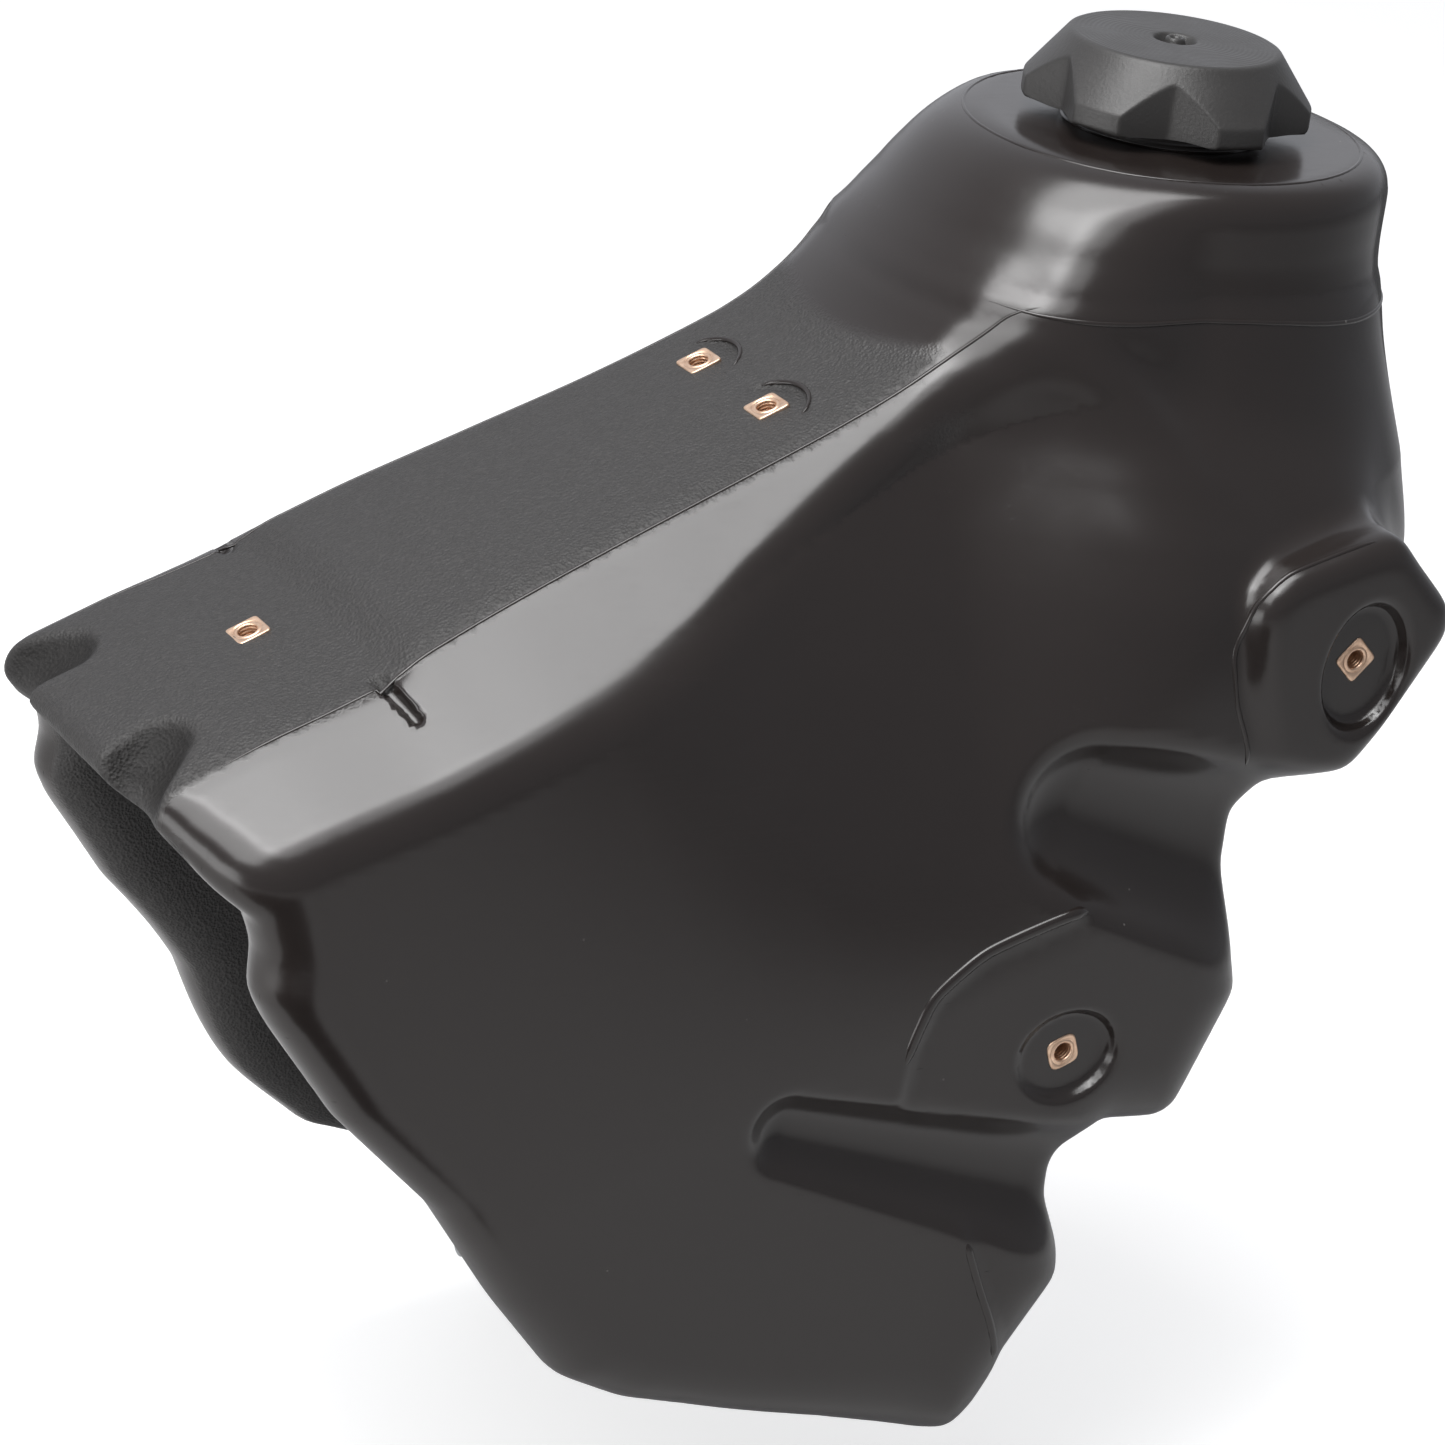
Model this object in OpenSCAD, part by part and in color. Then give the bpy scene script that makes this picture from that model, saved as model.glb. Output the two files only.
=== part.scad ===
// Plastic off-road motorcycle fuel tank with screw cap, moulded-in nuts and a fuel tap.
// Origin: centre of the flat filler deck. +X forward, +Y left, +Z up along the filler axis. Units mm.

/* [Tank body] */
// thickness of the rotomoulded wall
wall = 5; // [4:0.5:7]
// slope of the seat panel and its shoulders, degrees up towards the front
panel_slope = 23.3; // [18:0.1:28]
// half width of the flat seat panel
panel_half_w = 44; // [38:1:50]
// height of the seat panel where the pair of nuts sits, measured down from the deck
panel_drop = 67.6; // [60:0.1:75]
// how far the pair of panel nuts sits behind the filler axis
pair_back = 128.6; // [120:0.1:140]
// half width of the tank at the widest point of the flanks
flank_half_w = 110; // [100:1:120]
// radius of the flat filler deck
deck_r = 55.5; // [50:0.5:62]
// radius of the neck wall just under the deck
neck_r = 64.5; // [60:0.5:70]
// radius of the nose where it meets the tunnel roof
nose_r = 80; // [74:1:86]

/* [Frame tunnel] */
// half width of the tunnel at its roof
tunnel_half_w = 45; // [38:1:50]
// half width of the tunnel at its open bottom
tunnel_mouth_half_w = 64; // [56:1:70]
// depth of the tunnel roof under the deck, on the filler axis
tunnel_roof = 138; // [120:1:150]
// slope of the tunnel roof, degrees up towards the front
tunnel_slope = 4.9; // [3:0.1:8]

/* [Filler and cap] */
// bore of the filler neck
filler_r = 24.5; // [22:0.5:26]
// outer radius of the threaded filler collar
collar_r = 29; // [28:0.25:30]
// height of the collar above the deck
collar_h = 16; // [14:0.5:18]
// outside radius of the cap at its grip ring
cap_r = 40; // [36:0.5:44]
// radius of the flat top of the cap
cap_top_r = 29.4; // [27:0.1:33]
// height of the cap top above the deck
cap_top = 24.2; // [22:0.1:28]
// gap between the lower edge of the cap and the deck
cap_gap = 4.5; // [3:0.1:6]
// number of thumb notches round the cap
notch_count = 6; // [5:1:8]

/* [Moulded-in nuts] */
// bore of each nut before tapping to M6
nut_bore_r = 2.5; // [2.4:0.05:2.6]
// side of the square flange of a nut
nut_square = 10; // [10:0.1:12]
// thickness of the square flange
nut_flange_t = 2.2; // [2:0.1:3]
// radius of the knurled barrel behind the flange
nut_barrel_r = 4.2; // [4:0.1:5]
// length of a nut behind its face
nut_len = 13; // [11:0.5:15]
// depth of the threaded bore
nut_depth = 11; // [9:0.5:12]
// centre distance of the pair of nuts on the seat panel
pair_spacing = 36.6; // [34:0.1:40]
// how far the single panel nut sits behind the filler axis
rear_nut_back = 265.8; // [255:0.1:275]
// upper shroud nut: forward of the filler axis
upper_nut_x = 14; // [8:0.5:20]
// upper shroud nut: below the deck
upper_nut_drop = 119; // [114:0.5:124]
// upper shroud nut face: distance from the centre plane
upper_nut_y = 105; // [100:0.5:110]
// outer face of the raised lobe round each upper shroud nut
boss_y = 110; // [107:0.5:114]
// lower shroud nut: behind the filler axis
lower_nut_back = 61; // [56:0.5:66]
// lower shroud nut: below the deck
lower_nut_drop = 228; // [222:0.5:234]
// lower shroud nut face: distance from the centre plane
lower_nut_y = 103; // [99:0.5:106]

/* [Fuel tap] */
// how far the tap sits behind the filler axis
tap_back = 104; // [98:1:112]
// how far the tap sits left of the centre plane
tap_y = 82; // [78:1:86]
// distance between the two tap screws
tap_spacing = 34; // [32:0.5:38]
// height of the reserve inlet above the tank floor
reserve_h = 8; // [6:1:12]
// height of the main standpipe above the tap flange
standpipe_h = 52; // [40:1:70]
// outside radius of the fuel spigot, for 6 mm hose
spigot_r = 3.5; // [3:0.1:4]

/* [Hidden] */
$fn = 64;
eps = 0.02;
gap = 0.04;
tank_black = [0.07, 0.068, 0.066];
cap_grey = [0.16, 0.155, 0.15];
brass_col = [0.72, 0.52, 0.36];
rubber_col = [0.05, 0.05, 0.05];
steel_col = [0.62, 0.62, 0.63];
zinc_col = [0.55, 0.56, 0.57];
white_col = [0.82, 0.81, 0.76];
tap_z = -354;
tap_pad_r = 12;

// ---------- outlines ----------
// side outline of the lobes, x forward and z up
lobe_side = [[-318, -150], [-310, -158], [-301, -167], [-293, -173], [-290, -183], [-291, -194],
  [-287, -202], [-267, -230], [-238, -259], [-216, -291], [-196, -316], [-178, -325], [-148, -333],
  [-117, -341], [-84, -351],
  [-66, -356], [-58, -350], [-56, -330], [-41, -303], [-43, -293], [-50, -278], [-50, -266], [-40, -258],
  [-20, -260], [-13, -255], [0, -219], [-3, -207], [-9, -185], [-10, -167], [-4, -159], [6, -157],
  [20, -152],
  [28, -141], [42, -117], [44, -108], [36, -95], [26, -78], [8, -62], [-20, -52], [-58, -42], [-58, 0],
  [-318, -112]];
// outline of the raised lobe round each upper shroud nut, x forward and z up
boss_side = [[-31, -104], [-29, -96], [-18, -91], [8, -85], [22, -83], [29, -91], [43, -105], [44, -113],
  [27, -140], [17, -152], [-2, -154], [-14, -150], [-18, -141], [-27, -122]];
// half plan of the tank, x forward and y out, from the nose round to the tail
half_plan = [[44, 0], [44, 96], [38, 104], [20, 109], [-20, 108.5], [-60, 107], [-100, 103], [-150, 98],
  [-200, 94], [-250, 90], [-292, 87], [-306, 78], [-315, 66], [-319, 52], [-320, 0]];
// half section across the seat panel: y out, height over the panel plane
half_hat = [[0, 1.5], [24, 1.1], [panel_half_w - 6, 0.2], [panel_half_w, -1.8], [60, -11.5],
  [74, -20.5], [82, -40], [90, -70],
  [97, -110], [103, -160], [108, -230], [flank_half_w, -420], [0, -420]];

function flip(p) = [for (i = [len(p) - 1 : -1 : 0]) [-p[i][0], p[i][1]]];
function flip_y(p) = [for (i = [len(p) - 1 : -1 : 0]) [p[i][0], -p[i][1]]];
function arc(cx, cy, r, a0, a1, n) = [for (i = [0 : n]) let (a = a0 + (a1 - a0) * i / n)
  [cx + r * cos(a), cy + r * sin(a)]];

// ---------- frames ----------
// a point on the seat panel, with z square to the panel and x up the slope
module on_panel(back, y = 0) {
  translate([-back, y, -panel_drop - (back - pair_back) * tan(panel_slope)])
    rotate([0, -panel_slope, 0]) children();
}
// both sides of the tank, z pointing outward
module on_flanks(x, y, z, turn = 0) {
  for (s = [-1, 1])
    translate([x, s * y, z]) rotate([-90 * s, 0, 0]) rotate([0, 0, turn]) children();
}

// ---------- tank shell ----------
module lobes_block(inset) {
  intersection() {
    translate([0, 140, 0]) rotate([90, 0, 0]) linear_extrude(280) offset(delta = -inset) polygon(lobe_side);
    translate([0, 0, -420]) linear_extrude(440)
      offset(delta = -inset) polygon(concat(half_plan, flip_y(half_plan)));
    on_panel(pair_back) translate([-300, 0, 0]) rotate([90, 0, 90])
      linear_extrude(560) offset(delta = -inset) polygon(concat(half_hat, flip(half_hat)));
  }
}
module nut_lobes(inset) {
  for (s = [-1, 1])
    translate([0, s > 0 ? boss_y - inset : -70, 0]) rotate([90, 0, 0]) linear_extrude(boss_y - 70 - inset)
      offset(delta = -inset) polygon(boss_side);
}
module neck_block(inset) {
  f = inset > 0 ? wall + 4 : 0;
  rotate_extrude()
    polygon(concat([[0, -126 + inset], [0, -inset]],
      arc(deck_r - inset, -9 - inset, 9, 90, 0, 5),
      [[66 - inset, -30], [68 - inset, -50], [74.5 - inset, -82], [nose_r - inset, -108],
       [nose_r - 4 - inset, -120], [nose_r - 12 - inset, -126 + inset]]));
  // sweep from the neck down on to the seat panel
  hull() {
    translate([-2, 0, -12 - f]) cylinder(r = neck_r - 2 - inset, h = 1, $fn = 40);
    translate([-17, 0, -41 - f]) cylinder(r = 71 - inset, h = 1, $fn = 40);
    translate([-22, 0, -66]) cylinder(r = 72 - inset, h = 1, $fn = 40);
  }
}
module tunnel_cut(grow) {
  translate([0, 0, -tunnel_roof]) rotate([0, -tunnel_slope, 0]) translate([-360, 0, 0])
    rotate([90, 0, 90]) linear_extrude(520)
      polygon(concat([[-tunnel_mouth_half_w - grow, -330], [tunnel_mouth_half_w + grow, -330],
        [tunnel_half_w + 13 + grow, -60]],
        arc(tunnel_half_w - 22, -22, 22 + grow, 0, 90, 4),
        arc(22 - tunnel_half_w, -22, 22 + grow, 90, 180, 4),
        [[-tunnel_half_w - 13 - grow, -60]]));
}
// thumb-shaped cooling troughs in the front of each lobe: a ball end and a round channel
module trough(start, pitch, r, len) {
  translate(start) rotate([0, pitch, 0]) rotate([0, 90, 0]) cylinder(r = r, h = len);
  translate(start) sphere(r = r + 1.5);
}
module troughs(grow) {
  for (s = [-1, 1]) {
    trough([-78, s * 114, -148], 21, 18 + grow, 120);
    trough([-134, s * 112, -241], 14, 17 + grow, 140);
  }
}
// clearance pockets round the shroud nuts
module shroud_pockets(grow) {
  on_flanks(upper_nut_x, upper_nut_y, -upper_nut_drop)
    translate([0, 0, -grow]) cylinder(r = 16 + grow, h = 20);
  on_flanks(-lower_nut_back, lower_nut_y, -lower_nut_drop)
    translate([0, 0, -grow]) cylinder(r = 14.5 + grow, h = 20);
}
// twin scoops in the tail of the seat panel
module tail_scoops(grow) {
  for (s = [-1, 1])
    on_panel(285, s * 29) translate([14, 0, 12]) rotate([0, -112, 0]) cylinder(r = 13 + grow, h = 60);
}
// solid bosses that carry the moulded-in nuts
module nut_bosses(r, len) {
  for (s = [-1, 1])
    on_panel(pair_back, s * pair_spacing / 2) translate([0, 0, -len]) cylinder(r = r, h = len);
  on_panel(rear_nut_back) translate([0, 0, -len]) cylinder(r = r, h = len);
  on_flanks(upper_nut_x, upper_nut_y, -upper_nut_drop) translate([0, 0, -len]) cylinder(r = r, h = len);
  on_flanks(-lower_nut_back, lower_nut_y, -lower_nut_drop) translate([0, 0, -len]) cylinder(r = r, h = len);
}
module nut_pocket(turn = 0) {
  rotate([0, 0, turn]) translate([-nut_square / 2 - eps, -nut_square / 2 - eps, -nut_flange_t - eps])
    cube([nut_square + 2 * eps, nut_square + 2 * eps, nut_flange_t + 2]);
  translate([0, 0, -nut_len - eps]) cylinder(r = nut_barrel_r + eps, h = nut_len);
}
module tap_seat(r, h) {
  translate([-tap_back, tap_y, tap_z]) {
    for (s = [-1, 1]) translate([s * tap_spacing / 2, 0, 0]) cylinder(r = r, h = h);
    cylinder(r = r + 2, h = h);
  }
}
module tank_shell() {
  color(tank_black) difference() {
    union() {
      difference() {
        union() {
          lobes_block(0);
          neck_block(0);
          nut_lobes(0);
          tap_seat(tap_pad_r, 20);
        }
        tunnel_cut(0);
        troughs(0);
        shroud_pockets(0);
        tail_scoops(0);
        difference() {
          union() {
            lobes_block(wall);
            neck_block(wall);
            nut_lobes(wall);
          }
          tunnel_cut(wall);
          troughs(wall);
          shroud_pockets(wall);
          tail_scoops(wall);
          nut_bosses(nut_barrel_r + 4, nut_len + 4);
          tap_seat(tap_pad_r, 20);
        }
      }
      cylinder(r = collar_r, h = collar_h);
    }
    translate([0, 0, -wall - 12]) cylinder(r = filler_r, h = wall + 12 + collar_h + 1);
    for (s = [-1, 1]) on_panel(pair_back, s * pair_spacing / 2) nut_pocket();
    on_panel(rear_nut_back) nut_pocket();
    on_flanks(upper_nut_x, upper_nut_y, -upper_nut_drop) nut_pocket(45);
    on_flanks(-lower_nut_back, lower_nut_y, -lower_nut_drop) nut_pocket(20);
    translate([-tap_back, tap_y, tap_z]) {
      for (s = [-1, 1]) translate([s * tap_spacing / 2, 0, 0]) mirror([0, 0, 1]) nut_pocket();
      translate([0, 0, -1]) cylinder(r = 8.5, h = 40);
    }
  }
}

// ---------- moulded-in nuts ----------
module nut(turn = 0) {
  difference() {
    union() {
      rotate([0, 0, turn]) translate([-nut_square / 2, -nut_square / 2, -nut_flange_t])
        cube([nut_square, nut_square, nut_flange_t]);
      translate([0, 0, -nut_len]) cylinder(r = nut_barrel_r, h = nut_len - 1);
    }
    translate([0, 0, -nut_depth]) cylinder(r = nut_bore_r, h = nut_depth + 1);
  }
}
module panel_nuts() {
  color(brass_col) for (s = [-1, 1]) on_panel(pair_back, s * pair_spacing / 2) nut();
}
module rear_nut() {
  color(brass_col) on_panel(rear_nut_back) nut();
}
module upper_shroud_nuts() {
  color(brass_col) on_flanks(upper_nut_x, upper_nut_y, -upper_nut_drop) nut(45);
}
module lower_shroud_nuts() {
  color(brass_col) on_flanks(-lower_nut_back, lower_nut_y, -lower_nut_drop) nut(20);
}
module tap_nuts() {
  color(brass_col) translate([-tap_back, tap_y, tap_z])
    for (s = [-1, 1]) translate([s * tap_spacing / 2, 0, 0]) mirror([0, 0, 1]) nut();
}

// ---------- cap ----------
cap_bore = collar_r + 0.4;
seat_z = collar_h + 2.5;
ring_t = 0.8;
roof_z = seat_z + ring_t + gap;
// depth and opening of the V notches
notch_r = 32.7;
notch_half = 70;
module cap_shell() {
  color(cap_grey) difference() {
    rotate_extrude()
      polygon([[0, roof_z], [0, cap_top - 0.6], [7.6, cap_top - 0.6], [8.2, cap_top],
        [cap_top_r - 1, cap_top],
        [cap_top_r + 0.4, cap_top - 0.7], [cap_r - 0.4, 11], [cap_r, 10], [cap_r, cap_gap + 0.8],
        [cap_r - 0.8, cap_gap], [cap_bore, cap_gap], [cap_bore, roof_z]]);
    for (i = [0 : notch_count - 1])
      rotate([0, 0, 360 / notch_count * i - 3.7]) translate([0, 0, cap_gap - 1])
        linear_extrude(cap_top) polygon([[notch_r, 0], [notch_r + 12, 12 * tan(notch_half)],
          [notch_r + 12, -12 * tan(notch_half)]]);
    translate([0, 0, roof_z - 1]) cylinder(r = 2.2, h = 8);
  }
}
module cap_gasket() {
  color(rubber_col) translate([0, 0, collar_h + gap]) difference() {
    cylinder(r = collar_r - 0.6, h = 2.5 - 2 * gap);
    translate([0, 0, -1]) cylinder(r = filler_r + 0.5, h = 5);
  }
}
module slip_ring() {
  color(white_col) translate([0, 0, seat_z]) difference() {
    cylinder(r = collar_r - 0.4, h = ring_t - gap);
    translate([0, 0, -1]) cylinder(r = filler_r, h = 3);
  }
}
// vent: a spigot pressed into the cap, a ball that drops shut and the seat under it
module vent_spigot() {
  color(cap_grey) difference() {
    union() {
      translate([0, 0, roof_z + 0.5]) cylinder(r = 2.2 - eps, h = cap_top - roof_z - 0.5);
      translate([0, 0, cap_top - 0.6 + eps]) cylinder(r = 3.6, h = 1.8);
    }
    translate([0, 0, roof_z - 1]) cylinder(r = 1.1, h = 10);
  }
}
module vent_seat() {
  color(cap_grey) difference() {
    translate([0, 0, roof_z - 7]) cylinder(r = 5, h = 7 - gap);
    translate([0, 0, roof_z - 5.5]) cylinder(r = 2.6, h = 7);
    translate([0, 0, roof_z - 8]) cylinder(r = 1.5, h = 4);
  }
}
module vent_ball() {
  color(steel_col) translate([0, 0, roof_z - 5.5 + sqrt(2 * 2 - 1.5 * 1.5) + gap]) sphere(r = 2);
}

// ---------- fuel tap: z up into the tank, rotor axis along y ----------
flange_t = 5;
seal_t = 1.6;
flange_z = -seal_t - flange_t;
rotor_z = flange_z - 11;
rotor_r = 9;
seal_y = 4;
disc_y = seal_y + 1.8;
plate_y = 12;
port = 4;
plate_hole = 8.6;
body_half_w = 10.8;
lever_len = 24;
module at_tap() {
  translate([-tap_back, tap_y, tap_z]) children();
}
// everything on the rotor axis, z pointing out along the lever stem
module on_rotor(y) {
  at_tap() translate([0, y, rotor_z]) rotate([-90, 0, 0]) children();
}
module flange_outline() {
  for (s = [-1, 1]) translate([s * tap_spacing / 2, 0]) circle(r = 6.8);
  square([tap_spacing, 13.6], center = true);
  circle(r = 12.5);
}
module screw_pair(r, z, h) {
  for (s = [-1, 1]) translate([s * tap_spacing / 2, 0, z]) cylinder(r = r, h = h);
}
module tap_body() {
  color(zinc_col) difference() {
    union() {
      at_tap() {
        translate([0, 0, flange_z]) linear_extrude(flange_t) flange_outline();
        translate([0, 0, flange_z]) cylinder(r = 6.4, h = flange_t + seal_t + 8);
        translate([-body_half_w, -6, rotor_z - 12])
          cube([2 * body_half_w, 6 + plate_y, 12.5 - rotor_z + flange_z]);
        translate([-10, 0, rotor_z - port]) rotate([0, -90, 0]) cylinder(r = spigot_r + 1.2, h = 5);
        translate([-10, 0, rotor_z - port]) rotate([0, -90, 0]) cylinder(r = spigot_r, h = 21);
      }
    }
    at_tap() {
      screw_pair(3.2, flange_z - 1, flange_t + 2);
      translate([-port, 0, rotor_z + 2]) cylinder(r = 2.1, h = 40);
      translate([port, 0, rotor_z + 2]) cylinder(r = 1.6, h = 40);
      translate([-40, 0, rotor_z - port]) rotate([0, 90, 0]) cylinder(r = 1.9, h = 40);
    }
    on_rotor(seal_y) cylinder(r = rotor_r + gap, h = 20);
    for (p = [[-port, -3], [port, -3], [0, port]])
      on_rotor(-0.5) translate([p[0], p[1], 0]) cylinder(r = 1.4, h = 10);
    for (s = [-1, 1])
      on_rotor(plate_y - 7) translate([s * plate_hole, -s * plate_hole, 0]) cylinder(r = 1.5, h = 9);
  }
}
module tap_flange_seal() {
  color(rubber_col) at_tap() difference() {
    translate([0, 0, -seal_t + gap]) linear_extrude(seal_t - 2 * gap) flange_outline();
    screw_pair(3.2, -3, 5);
    translate([0, 0, -3]) cylinder(r = 6.4 + gap, h = 5);
  }
}
module tap_screws() {
  color(steel_col) at_tap() {
    screw_pair(2.4, flange_z - 1 - gap, 16);
    difference() {
      screw_pair(5, flange_z - 1 - gap - 4, 4);
      for (s = [-1, 1])
        translate([s * tap_spacing / 2, 0, flange_z - 1 - gap - 5]) cylinder(r = 2.9, h = 3.5, $fn = 6);
    }
  }
}
module tap_washers() {
  color(steel_col) at_tap() difference() {
    screw_pair(6, flange_z - 1 - gap / 2, 1);
    screw_pair(3.1, flange_z - 2, 3);
  }
}
module standpipe() {
  color(brass_col) at_tap() translate([-port, 0, flange_z + 1]) difference() {
    cylinder(r = 2.1 - eps, h = standpipe_h - flange_z - 1);
    translate([0, 0, -1]) cylinder(r = 1.5, h = standpipe_h + 20);
  }
}
module strainer() {
  color(white_col) at_tap() rotate_extrude()
    polygon([[6.4 + gap, 1], [8, 1], [8, reserve_h], [7.4, reserve_h + 1], [7.4, standpipe_h + 6],
      [0, standpipe_h + 6], [0, standpipe_h + 4.6], [6.8, standpipe_h + 4.6], [6.8, reserve_h],
      [6.4 + gap, reserve_h]]);
}
module rotor_seal() {
  color(rubber_col) difference() {
    on_rotor(seal_y + eps) cylinder(r = rotor_r - 0.1, h = disc_y - seal_y - 2 * eps);
    for (p = [[-port, -3], [port, -3], [0, port]])
      on_rotor(seal_y - 1) translate([p[0], p[1], 0]) cylinder(r = 1.4, h = 10);
  }
}
module tap_rotor() {
  color(zinc_col) {
    on_rotor(disc_y) difference() {
      union() {
        cylinder(r = rotor_r - gap, h = 4);
        cylinder(r = 4, h = 14);
      }
      translate([-2, -1.2, -1]) cube([4, port + 2.4, 2.2]);
    }
    on_rotor(plate_y + 2.4) {
      cylinder(r = 6.5, h = 6);
      translate([-4, 0, 0]) cube([8, lever_len - 4, 5]);
      translate([0, lever_len - 4, 0]) cylinder(r = 4, h = 5);
    }
  }
}
module rotor_oring() {
  color(rubber_col) on_rotor(disc_y + 4 + 0.75 + gap)
    rotate_extrude() translate([4 + gap + 0.75, 0]) circle(r = 0.75);
}
module wave_washer() {
  color(steel_col) on_rotor(plate_y - 0.9) difference() {
    cylinder(r = rotor_r - 0.4, h = 0.8);
    translate([0, 0, -1]) cylinder(r = 6, h = 3);
  }
}
module lever_plate() {
  color(steel_col) difference() {
    at_tap() translate([-10.5, plate_y + gap / 2, rotor_z - 10.8]) cube([21, 1.2, 21.4]);
    on_rotor(plate_y - 1) cylinder(r = 4 + gap, h = 4);
    for (s = [-1, 1])
      on_rotor(plate_y - 1) translate([s * plate_hole, -s * plate_hole, 0]) cylinder(r = 1.6, h = 5);
  }
}
module plate_screws() {
  color(steel_col) for (s = [-1, 1])
    on_rotor(plate_y + 1.2 + gap) translate([s * plate_hole, -s * plate_hole, 0]) {
    translate([0, 0, -7]) cylinder(r = 1.5 - gap, h = 7.2);
    difference() {
      cylinder(r = 2.6, h = 1.1);
      translate([-2, -0.35, 0.5]) cube([4, 0.7, 1]);
      translate([-0.35, -2, 0.5]) cube([0.7, 4, 1]);
    }
  }
}

tank_shell();
panel_nuts();
rear_nut();
upper_shroud_nuts();
lower_shroud_nuts();
tap_nuts();
cap_shell();
cap_gasket();
slip_ring();
vent_spigot();
vent_ball();
vent_seat();
tap_body();
tap_flange_seal();
tap_screws();
tap_washers();
standpipe();
strainer();
tap_rotor();
rotor_seal();
rotor_oring();
wave_washer();
lever_plate();
plate_screws();
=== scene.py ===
"""Looks of a plastic off-road motorcycle fuel tank: satin skin, pebbled seat panel, screw cap and nuts.

The skin is one implicit surface, skin_field(x, y, z), negative inside the plastic. It is in millimetres in
the CAD frame: +X forward, +Y left, +Z up, origin at the centre of the filler deck. The cap, the nuts on the
flanks and the tap are placed from the frame's boxes; the nuts on the panel use the CAD's own numbers.
"""

import math

import bmesh
import bpy
import numpy as np
from mathutils import Matrix, Vector


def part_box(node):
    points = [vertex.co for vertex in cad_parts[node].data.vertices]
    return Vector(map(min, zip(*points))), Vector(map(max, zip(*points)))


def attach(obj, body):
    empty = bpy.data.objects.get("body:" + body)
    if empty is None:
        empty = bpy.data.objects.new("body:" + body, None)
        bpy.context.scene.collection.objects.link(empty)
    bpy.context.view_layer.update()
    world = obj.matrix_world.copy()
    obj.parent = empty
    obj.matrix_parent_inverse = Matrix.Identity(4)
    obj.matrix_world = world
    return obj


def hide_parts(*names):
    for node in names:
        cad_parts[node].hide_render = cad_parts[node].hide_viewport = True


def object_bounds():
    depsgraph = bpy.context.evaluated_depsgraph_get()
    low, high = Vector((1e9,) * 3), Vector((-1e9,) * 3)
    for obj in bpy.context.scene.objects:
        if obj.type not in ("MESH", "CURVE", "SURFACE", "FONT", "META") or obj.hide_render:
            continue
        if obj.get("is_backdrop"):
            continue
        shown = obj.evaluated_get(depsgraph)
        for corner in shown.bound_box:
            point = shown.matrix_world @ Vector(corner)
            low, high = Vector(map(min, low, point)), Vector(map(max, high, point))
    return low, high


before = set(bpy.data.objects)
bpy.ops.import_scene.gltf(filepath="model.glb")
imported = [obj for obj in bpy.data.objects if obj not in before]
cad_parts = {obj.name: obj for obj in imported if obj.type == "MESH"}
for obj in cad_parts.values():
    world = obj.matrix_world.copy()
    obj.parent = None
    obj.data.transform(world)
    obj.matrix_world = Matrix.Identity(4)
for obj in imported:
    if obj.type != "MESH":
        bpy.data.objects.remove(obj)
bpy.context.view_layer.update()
MM = 0.001

# ---------------------------------------------------------------- sizes, mm
WALL = 5.0
PANEL_TILT = math.radians(23.34)
PAIR_NUT = (-128.6, -67.6)
SHOULDER_TILT = math.radians(32)
DECK_R = 55.5
NECK_R = 64.5
COLLAR_R = 29.0
COLLAR_ROOT_R = 27.8
COLLAR_H = 16.0
FILLER_R = 24.5
FILLER_CUT_R = 27.0
THREAD_PITCH = 4.0
BOSS_Y = 110.0
GRID_STEP = 2.7
CAVITY_STEP = 6.0
SHARP_DEGREES = 17

# side outline of the lobes, (x, z), from the tail round the bottom to the nose
LOBE_SIDE = [
    (-318, -150), (-310, -158), (-301, -167), (-293, -173), (-290, -183), (-291, -194), (-287, -202),
    (-267, -230), (-238, -259), (-216, -291), (-196, -316), (-178, -325), (-148, -333), (-117, -341),
    (-84, -351), (-73, -353), (-64, -343), (-57, -330), (-41, -303), (-43, -293), (-50, -278), (-50, -266),
    (-40, -258), (-20, -260), (-13, -255), (2.5, -219), (-1, -207), (-6, -185), (-7, -167), (-2, -159),
    (6, -157), (20, -152), (28, -141), (42, -117), (44, -108), (36, -95), (29, -81), (25, 60), (-318, 60),
]
# outline of the raised lobe round each upper shroud nut
BOSS_SIDE = [
    (-24, -104), (-22, -97), (-14, -91), (8, -85), (22, -83), (29, -91), (43, -105), (44, -113),
    (27, -140), (17, -152), (-2, -154), (-11, -150), (-14, -141), (-21, -122),
]
# lowered pads round the lower shroud nut and at the bottom corner of each lobe
PAD_UPPER = [
    (-48, -178), (-62, -183), (-91, -195), (-105, -207), (-110, -221), (-112, -240),
    (-60, -266), (40, -262), (40, -178),
]
PAD_LOWER = [(-88, -266), (-85, -280), (-78, -297), (-66, -324), (-60, -350), (-25, -350), (-25, -266)]


# ---------------------------------------------------------------- small maths
def smax(a, b, k):
    """Union of two half spaces' outsides with the corner rounded over a distance k."""
    h = np.clip(k - np.abs(a - b), 0, None)
    return np.maximum(a, b) + h * h / (4 * k)


def smin(a, b, k):
    return -smax(-a, -b, k)


def step(a, b, x):
    """Smooth step from 0 at a to 1 at b."""
    t = np.clip((x - a) / (b - a), 0, 1)
    return t * t * (3 - 2 * t)


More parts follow.
